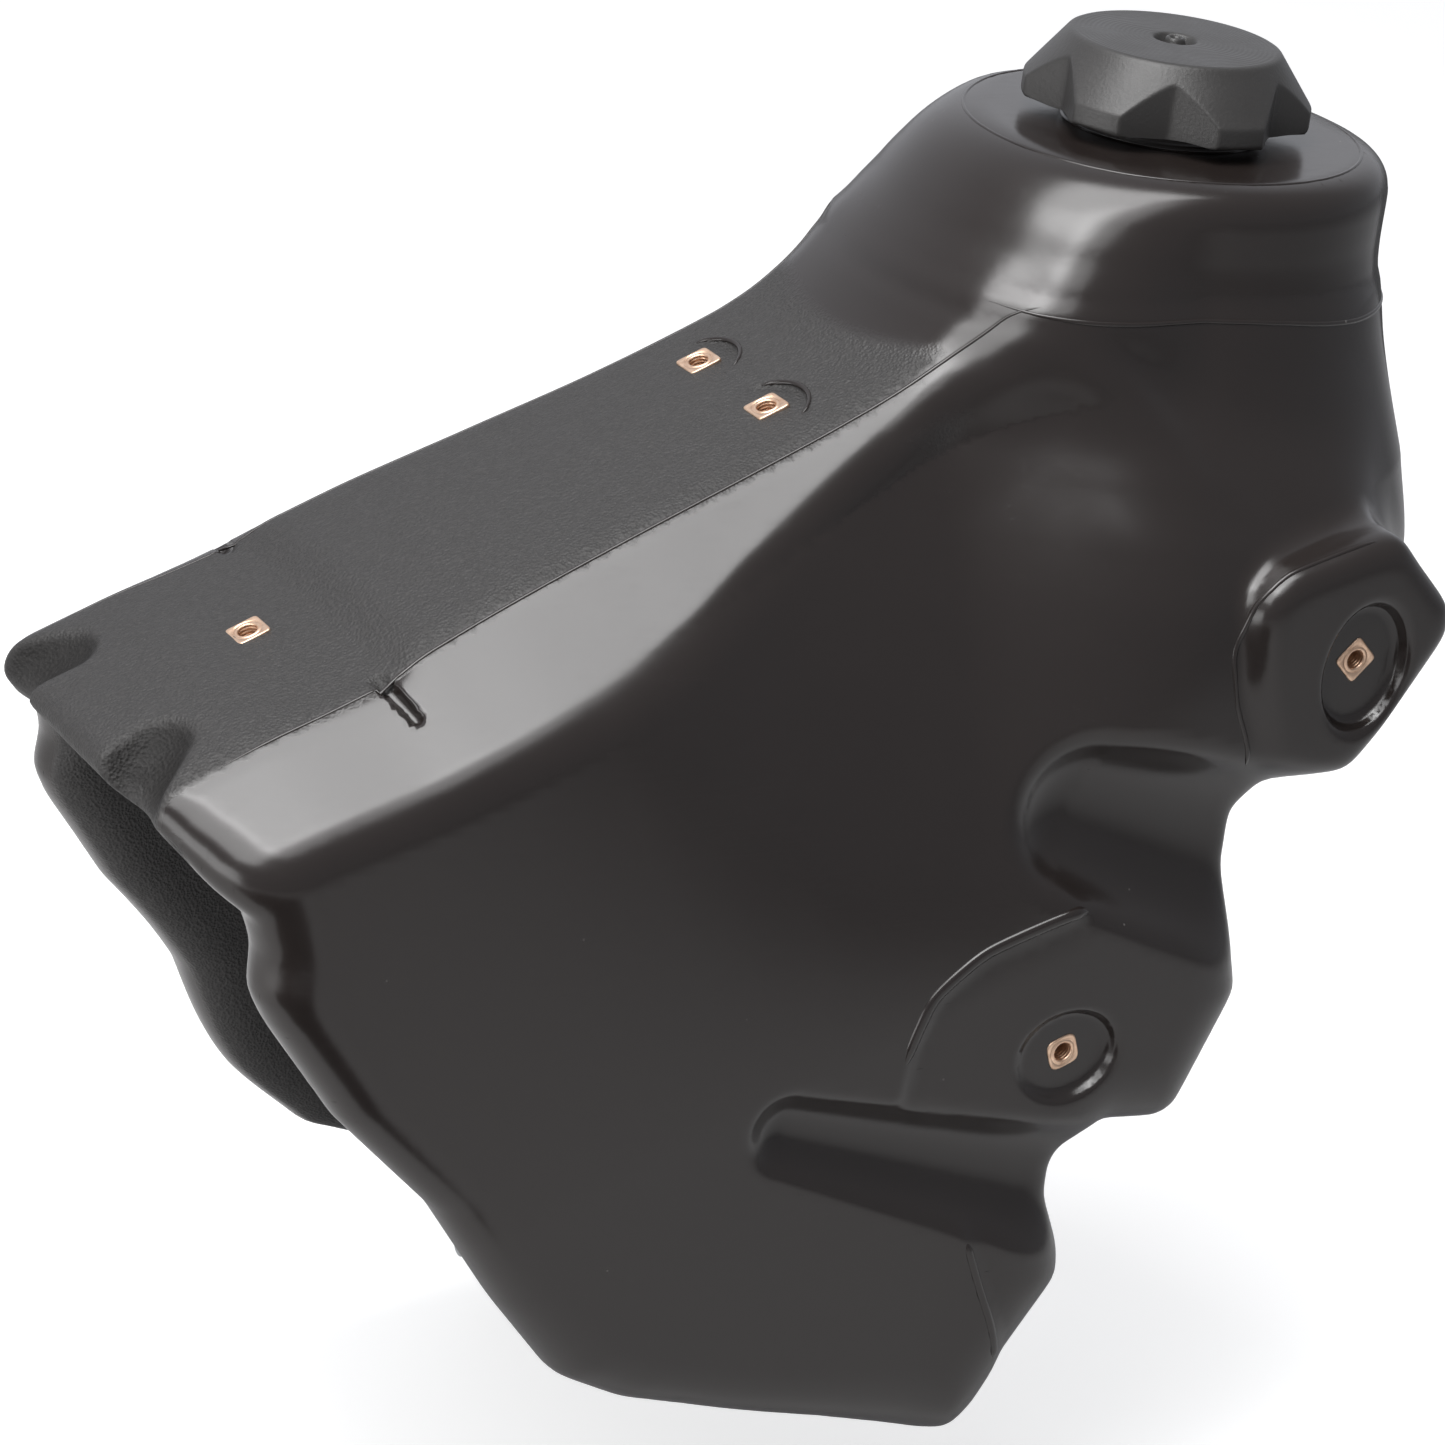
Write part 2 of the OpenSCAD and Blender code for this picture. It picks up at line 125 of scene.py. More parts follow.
def curve(x, knots):
    """Monotone cubic through a few (position, value) knots."""
    xs, ys = np.array(knots, float).T
    h = np.diff(xs)
    slope = np.diff(ys) / h
    m = np.zeros(len(xs))
    m[0], m[-1] = slope[0], slope[-1]
    for i in range(1, len(xs) - 1):
        if slope[i - 1] * slope[i] > 0:
            m[i] = 2 * slope[i - 1] * slope[i] / (slope[i - 1] + slope[i])
    x = np.clip(x, xs[0], xs[-1])
    i = np.clip(np.searchsorted(xs, x) - 1, 0, len(xs) - 2)
    t = (x - xs[i]) / h[i]
    start = ys[i] * (1 + 2 * t) * (1 - t) ** 2 + h[i] * m[i] * t * (1 - t) ** 2
    return start + ys[i + 1] * t * t * (3 - 2 * t) + h[i] * m[i + 1] * t * t * (t - 1)


class SideOutline:
    """Signed distance to a closed (x, z) outline on a 1 mm grid, with its corners softened."""

    LOW = (-345, -375)
    COUNT = (440, 420)

    def __init__(self, points, soften):
        gx, gz = np.meshgrid(*[l + np.arange(n) * 1.0 for l, n in zip(self.LOW, self.COUNT)], indexing="ij")
        p = np.array(points, float)
        d = np.full(gx.shape, 1e9)
        inside = np.zeros(gx.shape, bool)
        for (ax, az), (bx, bz) in zip(p, np.roll(p, -1, 0)):
            ex, ez = bx - ax, bz - az
            t = np.clip(((gx - ax) * ex + (gz - az) * ez) / (ex * ex + ez * ez), 0, 1)
            d = np.minimum(d, (gx - ax - t * ex) ** 2 + (gz - az - t * ez) ** 2)
            crosses = (az <= gz) != (bz <= gz)
            inside ^= crosses & (gx < ex * (gz - az) / (ez + 1e-12) + ax)
        self.d = self.blurred(np.sqrt(d) * np.where(inside, -1, 1), soften)

    @staticmethod
    def blurred(d, sigma):
        n = int(3 * sigma)
        kernel = np.exp(-0.5 * (np.arange(-n, n + 1) / sigma) ** 2)
        kernel /= kernel.sum()
        for axis in (0, 1):
            d = np.apply_along_axis(lambda r: np.convolve(np.pad(r, n, "edge"), kernel, "valid"), axis, d)
        return d

    def __call__(self, x, z):
        a = np.clip(x - self.LOW[0], 0, self.COUNT[0] - 1.001)
        b = np.clip(z - self.LOW[1], 0, self.COUNT[1] - 1.001)
        i, j = a.astype(np.int32), b.astype(np.int32)
        a, b = a - i, b - j
        low = self.d[i, j] * (1 - a) + self.d[i + 1, j] * a
        high = self.d[i, j + 1] * (1 - a) + self.d[i + 1, j + 1] * a
        return low * (1 - b) + high * b


def capsule(x, y, z, a, b, ra, rb):
    """Distance to a round channel that widens from ra at point a to rb at point b."""
    e = [q - p for p, q in zip(a, b)]
    t = ((x - a[0]) * e[0] + (y - a[1]) * e[1] + (z - a[2]) * e[2]) / (e[0] ** 2 + e[1] ** 2 + e[2] ** 2)
    t = np.clip(t, 0, 1)
    d = (x - a[0] - t * e[0]) ** 2 + (y - a[1] - t * e[1]) ** 2 + (z - a[2] - t * e[2]) ** 2
    return np.sqrt(d) - ra - (rb - ra) * t


# ---------------------------------------------------------------- the skin
LOBE = SideOutline(LOBE_SIDE, 2.0)
BOSS = SideOutline(BOSS_SIDE, 3.0)
PAD_A = SideOutline(PAD_UPPER, 2.0)
PAD_B = SideOutline(PAD_LOWER, 1.5)

# height of the seat panel's ridge over its plane, along the slope
PANEL_HEIGHT = [
    (-200, 1.5), (-190, 2), (-172, 1.8), (-149, -0.3), (-133, -1), (-118, 2.2), (-95, 2.4), (-60, 1.4),
    (-20, 0.2), (0, -0.1), (16, 0.6), (33, 2.4), (50, 4.6), (62, 7), (75, 4), (95, -16), (120, -32),
    (180, -64),
]
# height of the shoulders' upper edge over the panel plane
SHOULDER_HEIGHT = [
    (-200, -0.8), (-172, -0.8), (-140, -1.6), (-118, -1.0), (-95, -0.2), (-60, -1), (-20, -2.2), (16, -1.8),
    (33, 0), (50, 2.2), (62, 4.6), (75, 2), (95, -18), (120, -34), (180, -66),
]
# half width of the tank at the lower edge of the shoulders, along the slope
SHOULDER_WIDTH = [(-190, 79), (-120, 81), (-93, 80), (-58, 73), (-34, 65), (4, 55), (43, 48), (70, 44)]
# half width of the flat panel, along the slope
PANEL_WIDTH = [(-197, 50), (-132, 48), (-78, 44), (-2, 41), (58, 40)]
# half width of the tank along x, and down the front
FLANK_WIDTH = [
    (-330, 83), (-300, 87), (-250, 90), (-200, 94), (-150, 98), (-100, 103), (-60, 107), (-20, 108.5),
    (20, 109),
]
FRONT_WIDTH = [
    (30, 70), (50, 71), (62, 75), (75, 84), (90, 95), (105, 101.5), (130, 105.5), (170, 108), (350, 109),
]
# radius of the neck down its side, and how far its back and sides flare
NECK_RADIUS = [
    (-135, 82), (-105, 80), (-82, 75), (-50, 68), (-35, 66), (-29, 64.6), (-12, NECK_R), (0, NECK_R),
]
NECK_FLARE = [(0, -3), (3, -1), (19, 11.5), (36, 21), (50, 17), (70, 4), (100, 0)]
NECK_SWEEP = [(0, 0), (37, 0), (42, 3), (70, 21), (100, 42)]
NECK_SIDE_FLARE = [(0, 0), (20, 0), (35, 1.5), (60, 5), (80, 8)]
# x of the tail's rear edge across the tank, which rounds its corners in plan
TAIL_EDGE = [
    (0, -319), (36, -318), (46, -315), (57, -311.5), (65, -306), (73, -301), (80, -296), (95, -284),
]
# half width of the frame tunnel down its side
TUNNEL_WIDTH = [(-345, 64), (-230, 61), (-190, 57), (-150, 49), (-120, 44)]

# troughs across each flank: start, end, radius at each and blend
TROUGHS = (
    ((-66, 113, -157), (30, 132, -191), 24, 39, 5),
    ((-143, 104, -243), (-10, 124, -284), 12, 27, 4),
)
# oval seats sunk round the shroud nuts: centre x and z, half sizes, slope of the wall, floor and blend
NUT_SEATS = (
    (14.5, -120, 13.5, 18, 14.5, 104.6, 3.5),
    (-61, -228, 15, 13, 13, 102.6, 2.5),
)
# in panel coordinates: the scoop in each tail corner, and the small dent across each shoulder
SCOOP = ((-190, 31, 7.5), (-213, 41, 1), 11.5, 15.5)
DENT = ((-134.2, 46, -2.2), (-132.3, 59.5, -9.6), 2.1, 1.6)


def on_panel(x, z):
    """Panel coordinates: u up the slope and w square to it, from the middle of the pair of nuts."""
    dx, dz = x - PAIR_NUT[0], z - PAIR_NUT[1]
    c, s = math.cos(PANEL_TILT), math.sin(PANEL_TILT)
    return dx * c + dz * s, dz * c - dx * s


def from_panel(u, y, w):
    c, s = math.cos(PANEL_TILT), math.sin(PANEL_TILT)
    return (PAIR_NUT[0] + u * c - w * s, y, PAIR_NUT[1] + u * s + w * c)


def body_field(x, y, Y, z, u, w):
    """The two lobes under the seat panel; the left one swells a little at its lower rear edge."""
    ridge = curve(u, PANEL_HEIGHT)
    top = ridge - 1.6 * (Y / 42) ** 2
    shoulder = curve(u, SHOULDER_HEIGHT) - math.tan(SHOULDER_TILT) * (Y - curve(u, PANEL_WIDTH))
    deck = (w - smin(top, shoulder, 3)) * 0.9
    below = np.clip((-w - 18) / 126, 0, 1)
    widest = curve(x, FLANK_WIDTH)
    rear = widest - (widest - curve(u, SHOULDER_WIDTH)) * (1 - below) ** 1.5
    front = curve(-z, FRONT_WIDTH)
    q = step(-95, -30, x)
    half = rear * (1 - q) + front * q
    pads = 1.8 * (1 - step(-5, 2, PAD_A(x, z))) + 1.6 * (1 - step(-5, 2, PAD_B(x, z)))
    flank = (Y - half + pads) * 0.95
    outline = smax(LOBE(x, z), curve(Y, TAIL_EDGE) - x, 8)
    swell = np.exp(-((x + 226) ** 2 + (z + 291) ** 2) / 38 ** 2) * step(0, 20, y)
    outer = step(44, 58, Y)
    edge = 8 + 11 * step(-150, -60, x) + 6 * step(-250, -330, z)
    return smax(smax(flank, deck, 7), outline - 8.5 * swell, 5 + edge * outer)


def neck_field(x, y, Y, z):
    """The filler neck and the nose under it, round the filler axis."""
    rho = np.sqrt(x * x + Y * Y) + 1e-6
    back = step(0.30, 0.86, -x / rho)
    behind = step(0.70, 0.95, -x / rho)
    side = step(0.2, 0.9, np.abs(y) / rho) * (1 - back)
    r = curve(z, NECK_RADIUS) + back * curve(-z, NECK_FLARE) + behind * curve(-z, NECK_SWEEP)
    r = r + side * curve(-z, NECK_SIDE_FLARE)
    neck = smax((rho - r) * (0.95 - 0.15 * back), z, 11)
    neck = smax(neck, -126 - z, 16)
    return smax(neck, -75 - 40 * step(-10, 45, x) - z, 10)


def scoop_field(u, Y, w):
    """The two dents in the tail's upper edge."""
    return capsule(u, Y, w, *SCOOP)


# bores in the skin for the nuts: wider than a thread, narrower than the flange that hides the rim
NUT_HOLE_R = 3.4
NUT_HOLE_DEEP = 13.2
PAIR_NUT_Y = 18.3
REAR_NUT_U = -149.4
UPPER_NUT = (14, 105, -119)
LOWER_NUT = (-61, 103, -228)
# seat of the tap under the left lobe: three round pads, a bore for the pipe and two for the nuts
TAP_X, TAP_Y, TAP_Z = -104, 82, -353.8
TAP_NUT_STEP = 17
TAP_PADS = ((-TAP_NUT_STEP, 12), (0, 14), (TAP_NUT_STEP, 12))
TAP_BORES = (
    (-TAP_NUT_STEP, NUT_HOLE_R, NUT_HOLE_DEEP),
    (0, 8.8, 40),
    (TAP_NUT_STEP, NUT_HOLE_R, NUT_HOLE_DEEP),
)
TAP_PAD_HIGH = 30


def tap_pad(x, y, z):
    """Below 0 in the seat that carries the tap."""
    pads = [np.hypot(x - TAP_X - along, y - TAP_Y) - r for along, r in TAP_PADS]
    return np.maximum(np.minimum.reduce(pads), np.maximum(TAP_Z - z, z - TAP_Z - TAP_PAD_HIGH))


def tap_bores(x, y, z):
    """Below 0 in the bores of that seat."""
    bores = [np.maximum(np.hypot(x - TAP_X - along, y - TAP_Y) - r, z - TAP_Z - deep)
             for along, r, deep in TAP_BORES]
    return np.minimum.reduce(bores)


def nut_holes(x, y, Y, z, u, w):
    """Below 0 in the bores that hold the moulded-in nuts."""
    across = np.minimum(np.hypot(u, Y - PAIR_NUT_Y), np.hypot(u - REAR_NUT_U, y))
    holes = np.maximum(across - NUT_HOLE_R, -w - NUT_HOLE_DEEP)
    for nut_x, nut_y, nut_z in (UPPER_NUT, LOWER_NUT):
        across = np.hypot(x - nut_x, z - nut_z) - NUT_HOLE_R
        holes = np.minimum(holes, np.maximum(across, nut_y - NUT_HOLE_DEEP - Y))
    return holes


def skin_field(x, y, z):
    """Below 0 in the plastic: body, neck and nut lobes joined, then everything cut from them."""
    Y = np.sqrt(y * y + 1.0)
    u, w = on_panel(x, z)
    skin = smin(body_field(x, y, Y, z, u, w), neck_field(x, y, Y, z), 14)
    boss = smax(smax(Y - BOSS_Y, BOSS(x, z), 9), 70 - Y, 4)
    skin = smin(skin, boss, 5)
    for start, end, start_r, end_r, blend in TROUGHS:
        skin = smax(skin, -capsule(x, Y, z, start, end, start_r, end_r), blend)
    for seat_x, seat_z, half_x, half_z, slope, floor_y, blend in NUT_SEATS:
        oval = np.sqrt(((x - seat_x) / half_x) ** 2 + ((z - seat_z) / half_z) ** 2)
        skin = smax(skin, -smax((oval - 1) * slope, floor_y - Y, 3), blend)
    skin = smax(skin, -scoop_field(u, Y, w), 2.5)
    skin = smax(skin, -capsule(u, Y, w, *DENT), 1.5)
    seat = np.sqrt(u * u + (Y - PAIR_NUT_Y) ** 2) - 11
    skin = smax(skin, -smax(seat, -w - 0.13 * u - 0.2, 1), 1.2)
    tunnel = smax(Y - curve(z, TUNNEL_WIDTH), z + 138 - 0.085 * x, 26)
    skin = smin(smax(skin, -tunnel, 14), tap_pad(x, y, z), 3)
    return np.maximum(skin, -np.minimum(nut_holes(x, y, Y, z, u, w), tap_bores(x, y, z)))


def cavity_field(x, y, z):
    """The inside of the tank: the skin moved in by the wall."""
    return skin_field(x, y, z) + WALL


# ---------------------------------------------------------------- meshing
def near_grid(field, low, high, size, coarse=4):
    """field on a grid of `size` mm, worked out only near its surface; the rest holds the sign."""
    half = [np.arange(l, h + size * coarse, size * coarse) for l, h in zip(low, high)]
    gx, gy, gz = np.meshgrid(*half, indexing="ij")
    rough = field(gx, gy, gz)
    near = np.abs(rough) < size * coarse * 2.0
    values = rough
    for axis in range(3):
        near = np.repeat(near, coarse, axis)
        values = np.repeat(values, coarse, axis)
    axes = [a[0] + size * np.arange(len(a) * coarse) for a in half]
    i, j, k = np.nonzero(near)
    values[i, j, k] = field(axes[0][i], axes[1][j], axes[2][k])
    return axes, values


def gradient(field, p, h=0.25):
    x, y, z = p.T
    g = [field(x + h, y, z) - field(x - h, y, z), field(x, y + h, z) - field(x, y - h, z),
         field(x, y, z + h) - field(x, y, z - h)]
    return np.stack(g, 1) / (2 * h)


def settle(field, p, rounds=4, reach=1.5):
    """Moves points on to field = 0."""
    for _ in range(rounds):
        g = gradient(field, p)
        f = field(*p.T)
        move = f / np.maximum((g * g).sum(1), 0.05)
        p = p - np.clip(move, -reach, reach)[:, None] * g
    return p


def surface_net(field, low, high, size):
    """(points, quads) of field = 0: a point in each crossed cell, a quad across each crossed grid edge."""
    axes, v = near_grid(field, low, high, size)
    solid = v < 0
    cell_shape = tuple(n - 1 for n in v.shape)
    corners = [(a, b, c) for a in (0, 1) for b in (0, 1) for c in (0, 1)]
    part = [solid[a:a + cell_shape[0], b:b + cell_shape[1], c:c + cell_shape[2]] for a, b, c in corners]
    count = sum(p.astype(np.int8) for p in part)
    cells = np.argwhere((count > 0) & (count < 8))
    number = np.full(cell_shape, -1, np.int64)
    number[tuple(cells.T)] = np.arange(len(cells))
    total = np.zeros((len(cells), 3))
    hits = np.zeros(len(cells))
    for ca in corners:
        for axis in range(3):
            if ca[axis]:
                continue
            cb = list(ca)
            cb[axis] = 1
            va = v[tuple((cells + ca).T)]
            vb = v[tuple((cells + cb).T)]
            cross = (va < 0) != (vb < 0)
            t = np.where(cross, va / np.where(cross, va - vb, 1), 0)
            at = np.array(ca, float)[None].repeat(len(cells), 0)
            at[:, axis] += t
            total += at * cross[:, None]
            hits += cross
    origin = np.array([a[0] for a in axes])
    points = origin + (cells + total / hits[:, None]) * size
    quads = []
    for axis in range(3):
        b, c = (axis + 1) % 3, (axis + 2) % 3
        lo = [slice(None)] * 3
        hi = [slice(None)] * 3
        lo[axis], hi[axis] = slice(0, -1), slice(1, None)
        change = solid[tuple(lo)] != solid[tuple(hi)]
        edges = np.argwhere(change)
        edges = edges[(edges[:, b] > 0) & (edges[:, c] > 0)]
        edges = edges[(edges[:, b] < cell_shape[b]) & (edges[:, c] < cell_shape[c])]
        ring = []
        for db, dc in ((-1, -1), (0, -1), (0, 0), (-1, 0)):
            e = edges.copy()
            e[:, b] += db
            e[:, c] += dc
            ring.append(number[tuple(e.T)])
        quad = np.stack(ring, 1)
        inward = solid[tuple(edges.T)]
        quad[~inward] = quad[~inward][:, ::-1]
        quads.append(quad)
    return points, np.concatenate(quads)


def used_only(points, faces):
    """Drops the points that no face uses."""
    used = np.unique(faces)
    number = np.full(len(points), -1)
    number[used] = np.arange(len(used))
    return points[used], number[faces]


def open_filler(points, quads, r=FILLER_CUT_R):
    """Cuts the filler opening; the cut edge ends inside the collar's wall."""
    rho = np.hypot(points[:, 0], points[:, 1])
    near_deck = points[:, 2] > -16
    gone = (near_deck & (rho < r))[quads].all(1)
    kept = quads[~gone]
    rim = np.intersect1d(np.unique(quads[gone]), np.unique(kept))
    points = points.copy()
    points[rim, :2] *= (r / rho[rim])[:, None]
    return used_only(points, kept)


def mesh_object(name, points, faces, normals=None, smooth=True):
    """A mesh object from points in mm."""
    mesh = bpy.data.meshes.new(name)
    mesh.from_pydata((np.asarray(points) * MM).tolist(), [], [list(map(int, f)) for f in faces])
    mesh.polygons.foreach_set("use_smooth", np.full(len(mesh.polygons), smooth))
    if normals is not None:
        mesh.normals_split_custom_set_from_vertices(normals.tolist())
    mesh.update()
    obj = bpy.data.objects.new(name, mesh)
    bpy.context.scene.collection.objects.link(obj)
    return obj


def point_attribute(obj, name, values):
    a = obj.data.attributes.new(name, "FLOAT", "POINT")
    a.data.foreach_set("value", np.asarray(values, np.float32))


def unit(v):
    return v / np.maximum(np.linalg.norm(v, axis=-1, keepdims=True), 1e-9)


def refined(field, points, quads, sharp_degrees):
    """Halves the faces that bend by more than sharp_degrees, and settles the new points."""
    normals = unit(gradient(field, points))
    corner = normals[quads]
    bend = (corner[:, 0] * corner[:, 2]).sum(1)
    bend = np.minimum(bend, (corner[:, 1] * corner[:, 3]).sum(1))
    sharp = bend < math.cos(math.radians(sharp_degrees))
    bm = bmesh.new()
    verts = [bm.verts.new(p) for p in points]
    faces = [bm.faces.new([verts[i] for i in q]) for q in quads]
    edges = {e for f, s in zip(faces, sharp) if s for e in f.edges}
    bmesh.ops.subdivide_edges(bm, edges=list(edges), cuts=1, use_grid_fill=True)
    bm.verts.index_update()
    points = np.array([v.co for v in bm.verts])
    faces = [[v.index for v in f.verts] for f in bm.faces]
    bm.free()
    return settle(field, points, rounds=3), faces


NET_LOW = (-330, -118, -364)
NET_HIGH = (92, 118, 8)


def matt_and_scoop_shade_mask(p):
    """1 on the pebbled seat panel and tunnel, 0 on the satin outside, up to 2 in the tail scoops, where the
    material paints shade.
    """
    x, y, z = p.T
    u, w = on_panel(x, z)
    Y = np.abs(y)
    inside_panel = 1 - step(-1.0, 1.0, Y - curve(u, PANEL_WIDTH) - 0.5)
    inside_panel *= step(-16, -10, w)
    inside_panel *= step(2, 7, neck_field(x, y, Y, z) - body_field(x, y, Y, z, u, w))
    tunnel = 1 - step(-1.5, 1.5, Y - curve(z, TUNNEL_WIDTH) - 6)
    below = 1 - step(-14, -8, w)
    scoops = 1 - step(-0.5, 1.2, scoop_field(u, Y, w))
    return np.maximum(inside_panel, tunnel * below) + inside_panel * scoops


def build_skin():
    points, quads = surface_net(skin_field, NET_LOW, NET_HIGH, GRID_STEP)
    points = settle(skin_field, points)
    points, quads = open_filler(points, quads)
    points, quads = refined(skin_field, points, quads, SHARP_DEGREES)
    normals = unit(gradient(skin_field, points))
    obj = mesh_object("tank_skin", points, quads, normals)
    # the attribute also marks the tail scoops with values up to 2, where tank_plastic paints shade
    point_attribute(obj, "matt", matt_and_scoop_shade_mask(points))
    return obj


def build_cavity():
    points, quads = surface_net(cavity_field, NET_LOW, NET_HIGH, CAVITY_STEP)
    points = settle(cavity_field, points)
    points, quads = open_filler(points, quads[:, ::-1])
    normals = -unit(gradient(cavity_field, points))
    return mesh_object("tank_inside", points, quads, normals)


# ---------------------------------------------------------------- turned and swept shapes
def ring_mesh(name, radius_at, angles, heights, cap_low=False, cap_high=False, flip=False):
    """A mesh round +Z from radius_at(angle, i), which gives (radius, z) for ring i of `heights` rings."""
    n = len(angles)
    rings = []
    for i in range(heights):
        r, z = radius_at(angles, i)
        rings.append(np.stack([r * np.cos(angles), r * np.sin(angles), z + 0 * angles], 1))
    points = np.concatenate(rings)
    faces = []
    for i in range(heights - 1):
        a = i * n + np.arange(n)
        b = i * n + (np.arange(n) + 1) % n
        faces += np.stack([a, b, b + n, a + n], 1).tolist()
    if cap_low:
        faces.append(list(range(n))[::-1])
    if cap_high:
        faces.append([(heights - 1) * n + i for i in range(n)])
    if flip:
        faces = [f[::-1] for f in faces]
    return mesh_object(name, points, faces)


def swept_bead(points, normals, radius, sink, sides=8):
    """Points and quads of a thin round bead along `points`, sunk along -normals, with pointed ends."""
    p = np.asarray(points, float)
    tangent = unit(np.gradient(p, axis=0))
    side = unit(np.cross(tangent, normals))
    up = np.cross(side, tangent)
    t = np.linspace(0, 1, len(p))
    r = radius * np.sqrt(np.clip(np.minimum(t, 1 - t) * 14, 0.02, 1))
    rings = []
    for k in range(sides):
        a = 2 * math.pi * k / sides
        rings.append(p - up * sink + (side * math.cos(a) * 1.5 + up * math.sin(a)) * r[:, None])
    verts = np.stack(rings, 1).reshape(-1, 3)
    faces = []
    for i in range(len(p) - 1):
        for k in range(sides):
            a, b = i * sides + k, i * sides + (k + 1) % sides
            faces.append([a, b, b + sides, a + sides])
    faces.append(list(range(sides))[::-1])
    faces.append([(len(p) - 1) * sides + k for k in range(sides)])
    return verts, faces


def joined(name, parts):
    """One object from several (points, faces) pairs."""
    points, faces, base = [], [], 0
    for p, f in parts:
        points.append(np.asarray(p, float))
        faces += [[base + i for i in face] for face in f]
        base += len(p)
    return mesh_object(name, np.concatenate(points), faces)


def smooth_path(knots, count):
    """A rounded path through a few points."""
    k = np.array(knots, float)
    d = np.concatenate([[0], np.cumsum(np.linalg.norm(np.diff(k, axis=0), axis=1))])
    t = np.linspace(0, d[-1], count)
    return np.stack([curve(t, np.stack([d, k[:, a]], 1)) for a in range(3)], 1)


def bead_on_skin(knots, radius=0.45, sink=0.15, count=90):
    p = settle(skin_field, smooth_path(knots, count), rounds=8, reach=4)
    return swept_bead(p, unit(gradient(skin_field, p)), radius, sink)


def build_mould_lines():
    """The raised parting lines the mould leaves: along the panel edges, round the neck and on the lobes."""
    lines = []
    for side in (-1, 1):
        edge = [from_panel(u, side * (float(curve(np.float64(u), PANEL_WIDTH)) + 1), 0)
                for u in (-183, -150, -132, -100, -60, -20, 20, 58, 78)]
        lines.append(bead_on_skin(edge, 0.4, 0.12, 150))
        pad = [(-60, side * 108, -183), (-76, side * 107, -188), (-94, side * 106, -197),
               (-106, side * 105, -209), (-111, side * 104, -226)]
        lines.append(bead_on_skin(pad, 1.3, 0.45))
        foot = [(-84, side * 107, -282), (-78, side * 107, -297), (-67, side * 107, -322)]
        lines.append(bead_on_skin(foot, 0.9, 0.25, 60))
        boss = [(14, side * 105, -83), (-6, side * 105, -86), (-19, side * 105, -91),
                (-27, side * 106, -99), (-28, side * 107, -110), (-25, side * 107, -126),
                (-19, side * 107, -141), (-17, side * 106, -149)]
        lines.append(bead_on_skin(boss, 0.55, 0.1, 120))
        for k in (-1, 1):
            arc = [(PAIR_NUT_Y * k + 11.4 * math.sin(a), 11.4 * math.cos(a))
                   for a in np.linspace(-1.15, 1.15, 9)]
            if side == 1:
                lines.append(bead_on_skin([from_panel(du, y, 1) for y, du in arc], 0.5, 0.1, 40))
    round_neck = []
    for k in range(-15, 16):
        a = math.radians(k * 10.2)
        flare = 66 + 20 * float(step(0.3, 0.86, -math.cos(a)))
        dip = 4 * float(step(-0.2, 0.6, math.cos(a)))
        round_neck.append((flare * math.cos(a), flare * math.sin(a), -35 - dip))
    lines.append(bead_on_skin(round_neck, 0.5, 0.12, 240))
    rim = [(DECK_R * math.cos(a), DECK_R * math.sin(a), 0) for a in np.linspace(0, 2 * math.pi, 49)]
    lines.append(bead_on_skin(rim, 0.35, 0.1, 200))
    return joined("mould_lines", lines)


def build_collar():
    """The filler collar with its outside thread."""
    angles = np.linspace(0, 2 * math.pi, 144, endpoint=False)
    outer = np.linspace(-9, COLLAR_H - 0.8, 90)
    profile = [("out", z) for z in outer]
    profile += [("edge", (COLLAR_ROOT_R - 0.3, COLLAR_H - 0.25)), ("edge", (COLLAR_ROOT_R - 0.9, COLLAR_H))]
    profile += [("edge", (FILLER_R + 0.8, COLLAR_H)), ("edge", (FILLER_R + 0.2, COLLAR_H - 0.25))]
    profile += [("edge", (FILLER_R, COLLAR_H - 0.9)), ("edge", (FILLER_R, 0)), ("edge", (FILLER_R, -9))]

    def at(a, i):
        kind, value = profile[i]
        if kind == "edge":
            return value[0] + 0 * a, value[1]
        if value < 0:
            return COLLAR_R - 0.6 + 0 * a, value
        phase = (value / THREAD_PITCH - a / (2 * math.pi)) % 1
        ridge = step(0.18, 0.36, phase) * (1 - step(0.64, 0.82, phase))
        fade = step(1.2, 3.0, value) * (1 - step(COLLAR_H - 2.8, COLLAR_H - 1.2, value))
        return COLLAR_ROOT_R + (COLLAR_R - COLLAR_ROOT_R) * ridge * fade, value

    return ring_mesh("filler_collar", at, angles, len(profile))


# ---------------------------------------------------------------- cap
CAP_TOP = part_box("cap_shell")[1].z / MM
CAP_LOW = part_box("cap_shell")[0].z / MM
CAP_R = 40.0
CAP_TOP_R = 29.4
CAP_BORE_R = 29.4
CAP_ROOF = 19.35
CAP_TURN = math.radians(-3.7)
NOTCH_R = 32.7
NOTCH_FACE = math.radians(20)
NOTCHES = 6
DISH_DEPTH = 2.1


def notch_radius(angle):
    """Radius of the two flat faces of the nearest thumb notch."""
    pitch = 2 * math.pi / NOTCHES
    t = (angle - CAP_TURN + pitch / 2) % pitch - pitch / 2
    return NOTCH_R * math.cos(NOTCH_FACE) / np.cos(np.sqrt(t * t + 0.0004) + NOTCH_FACE)


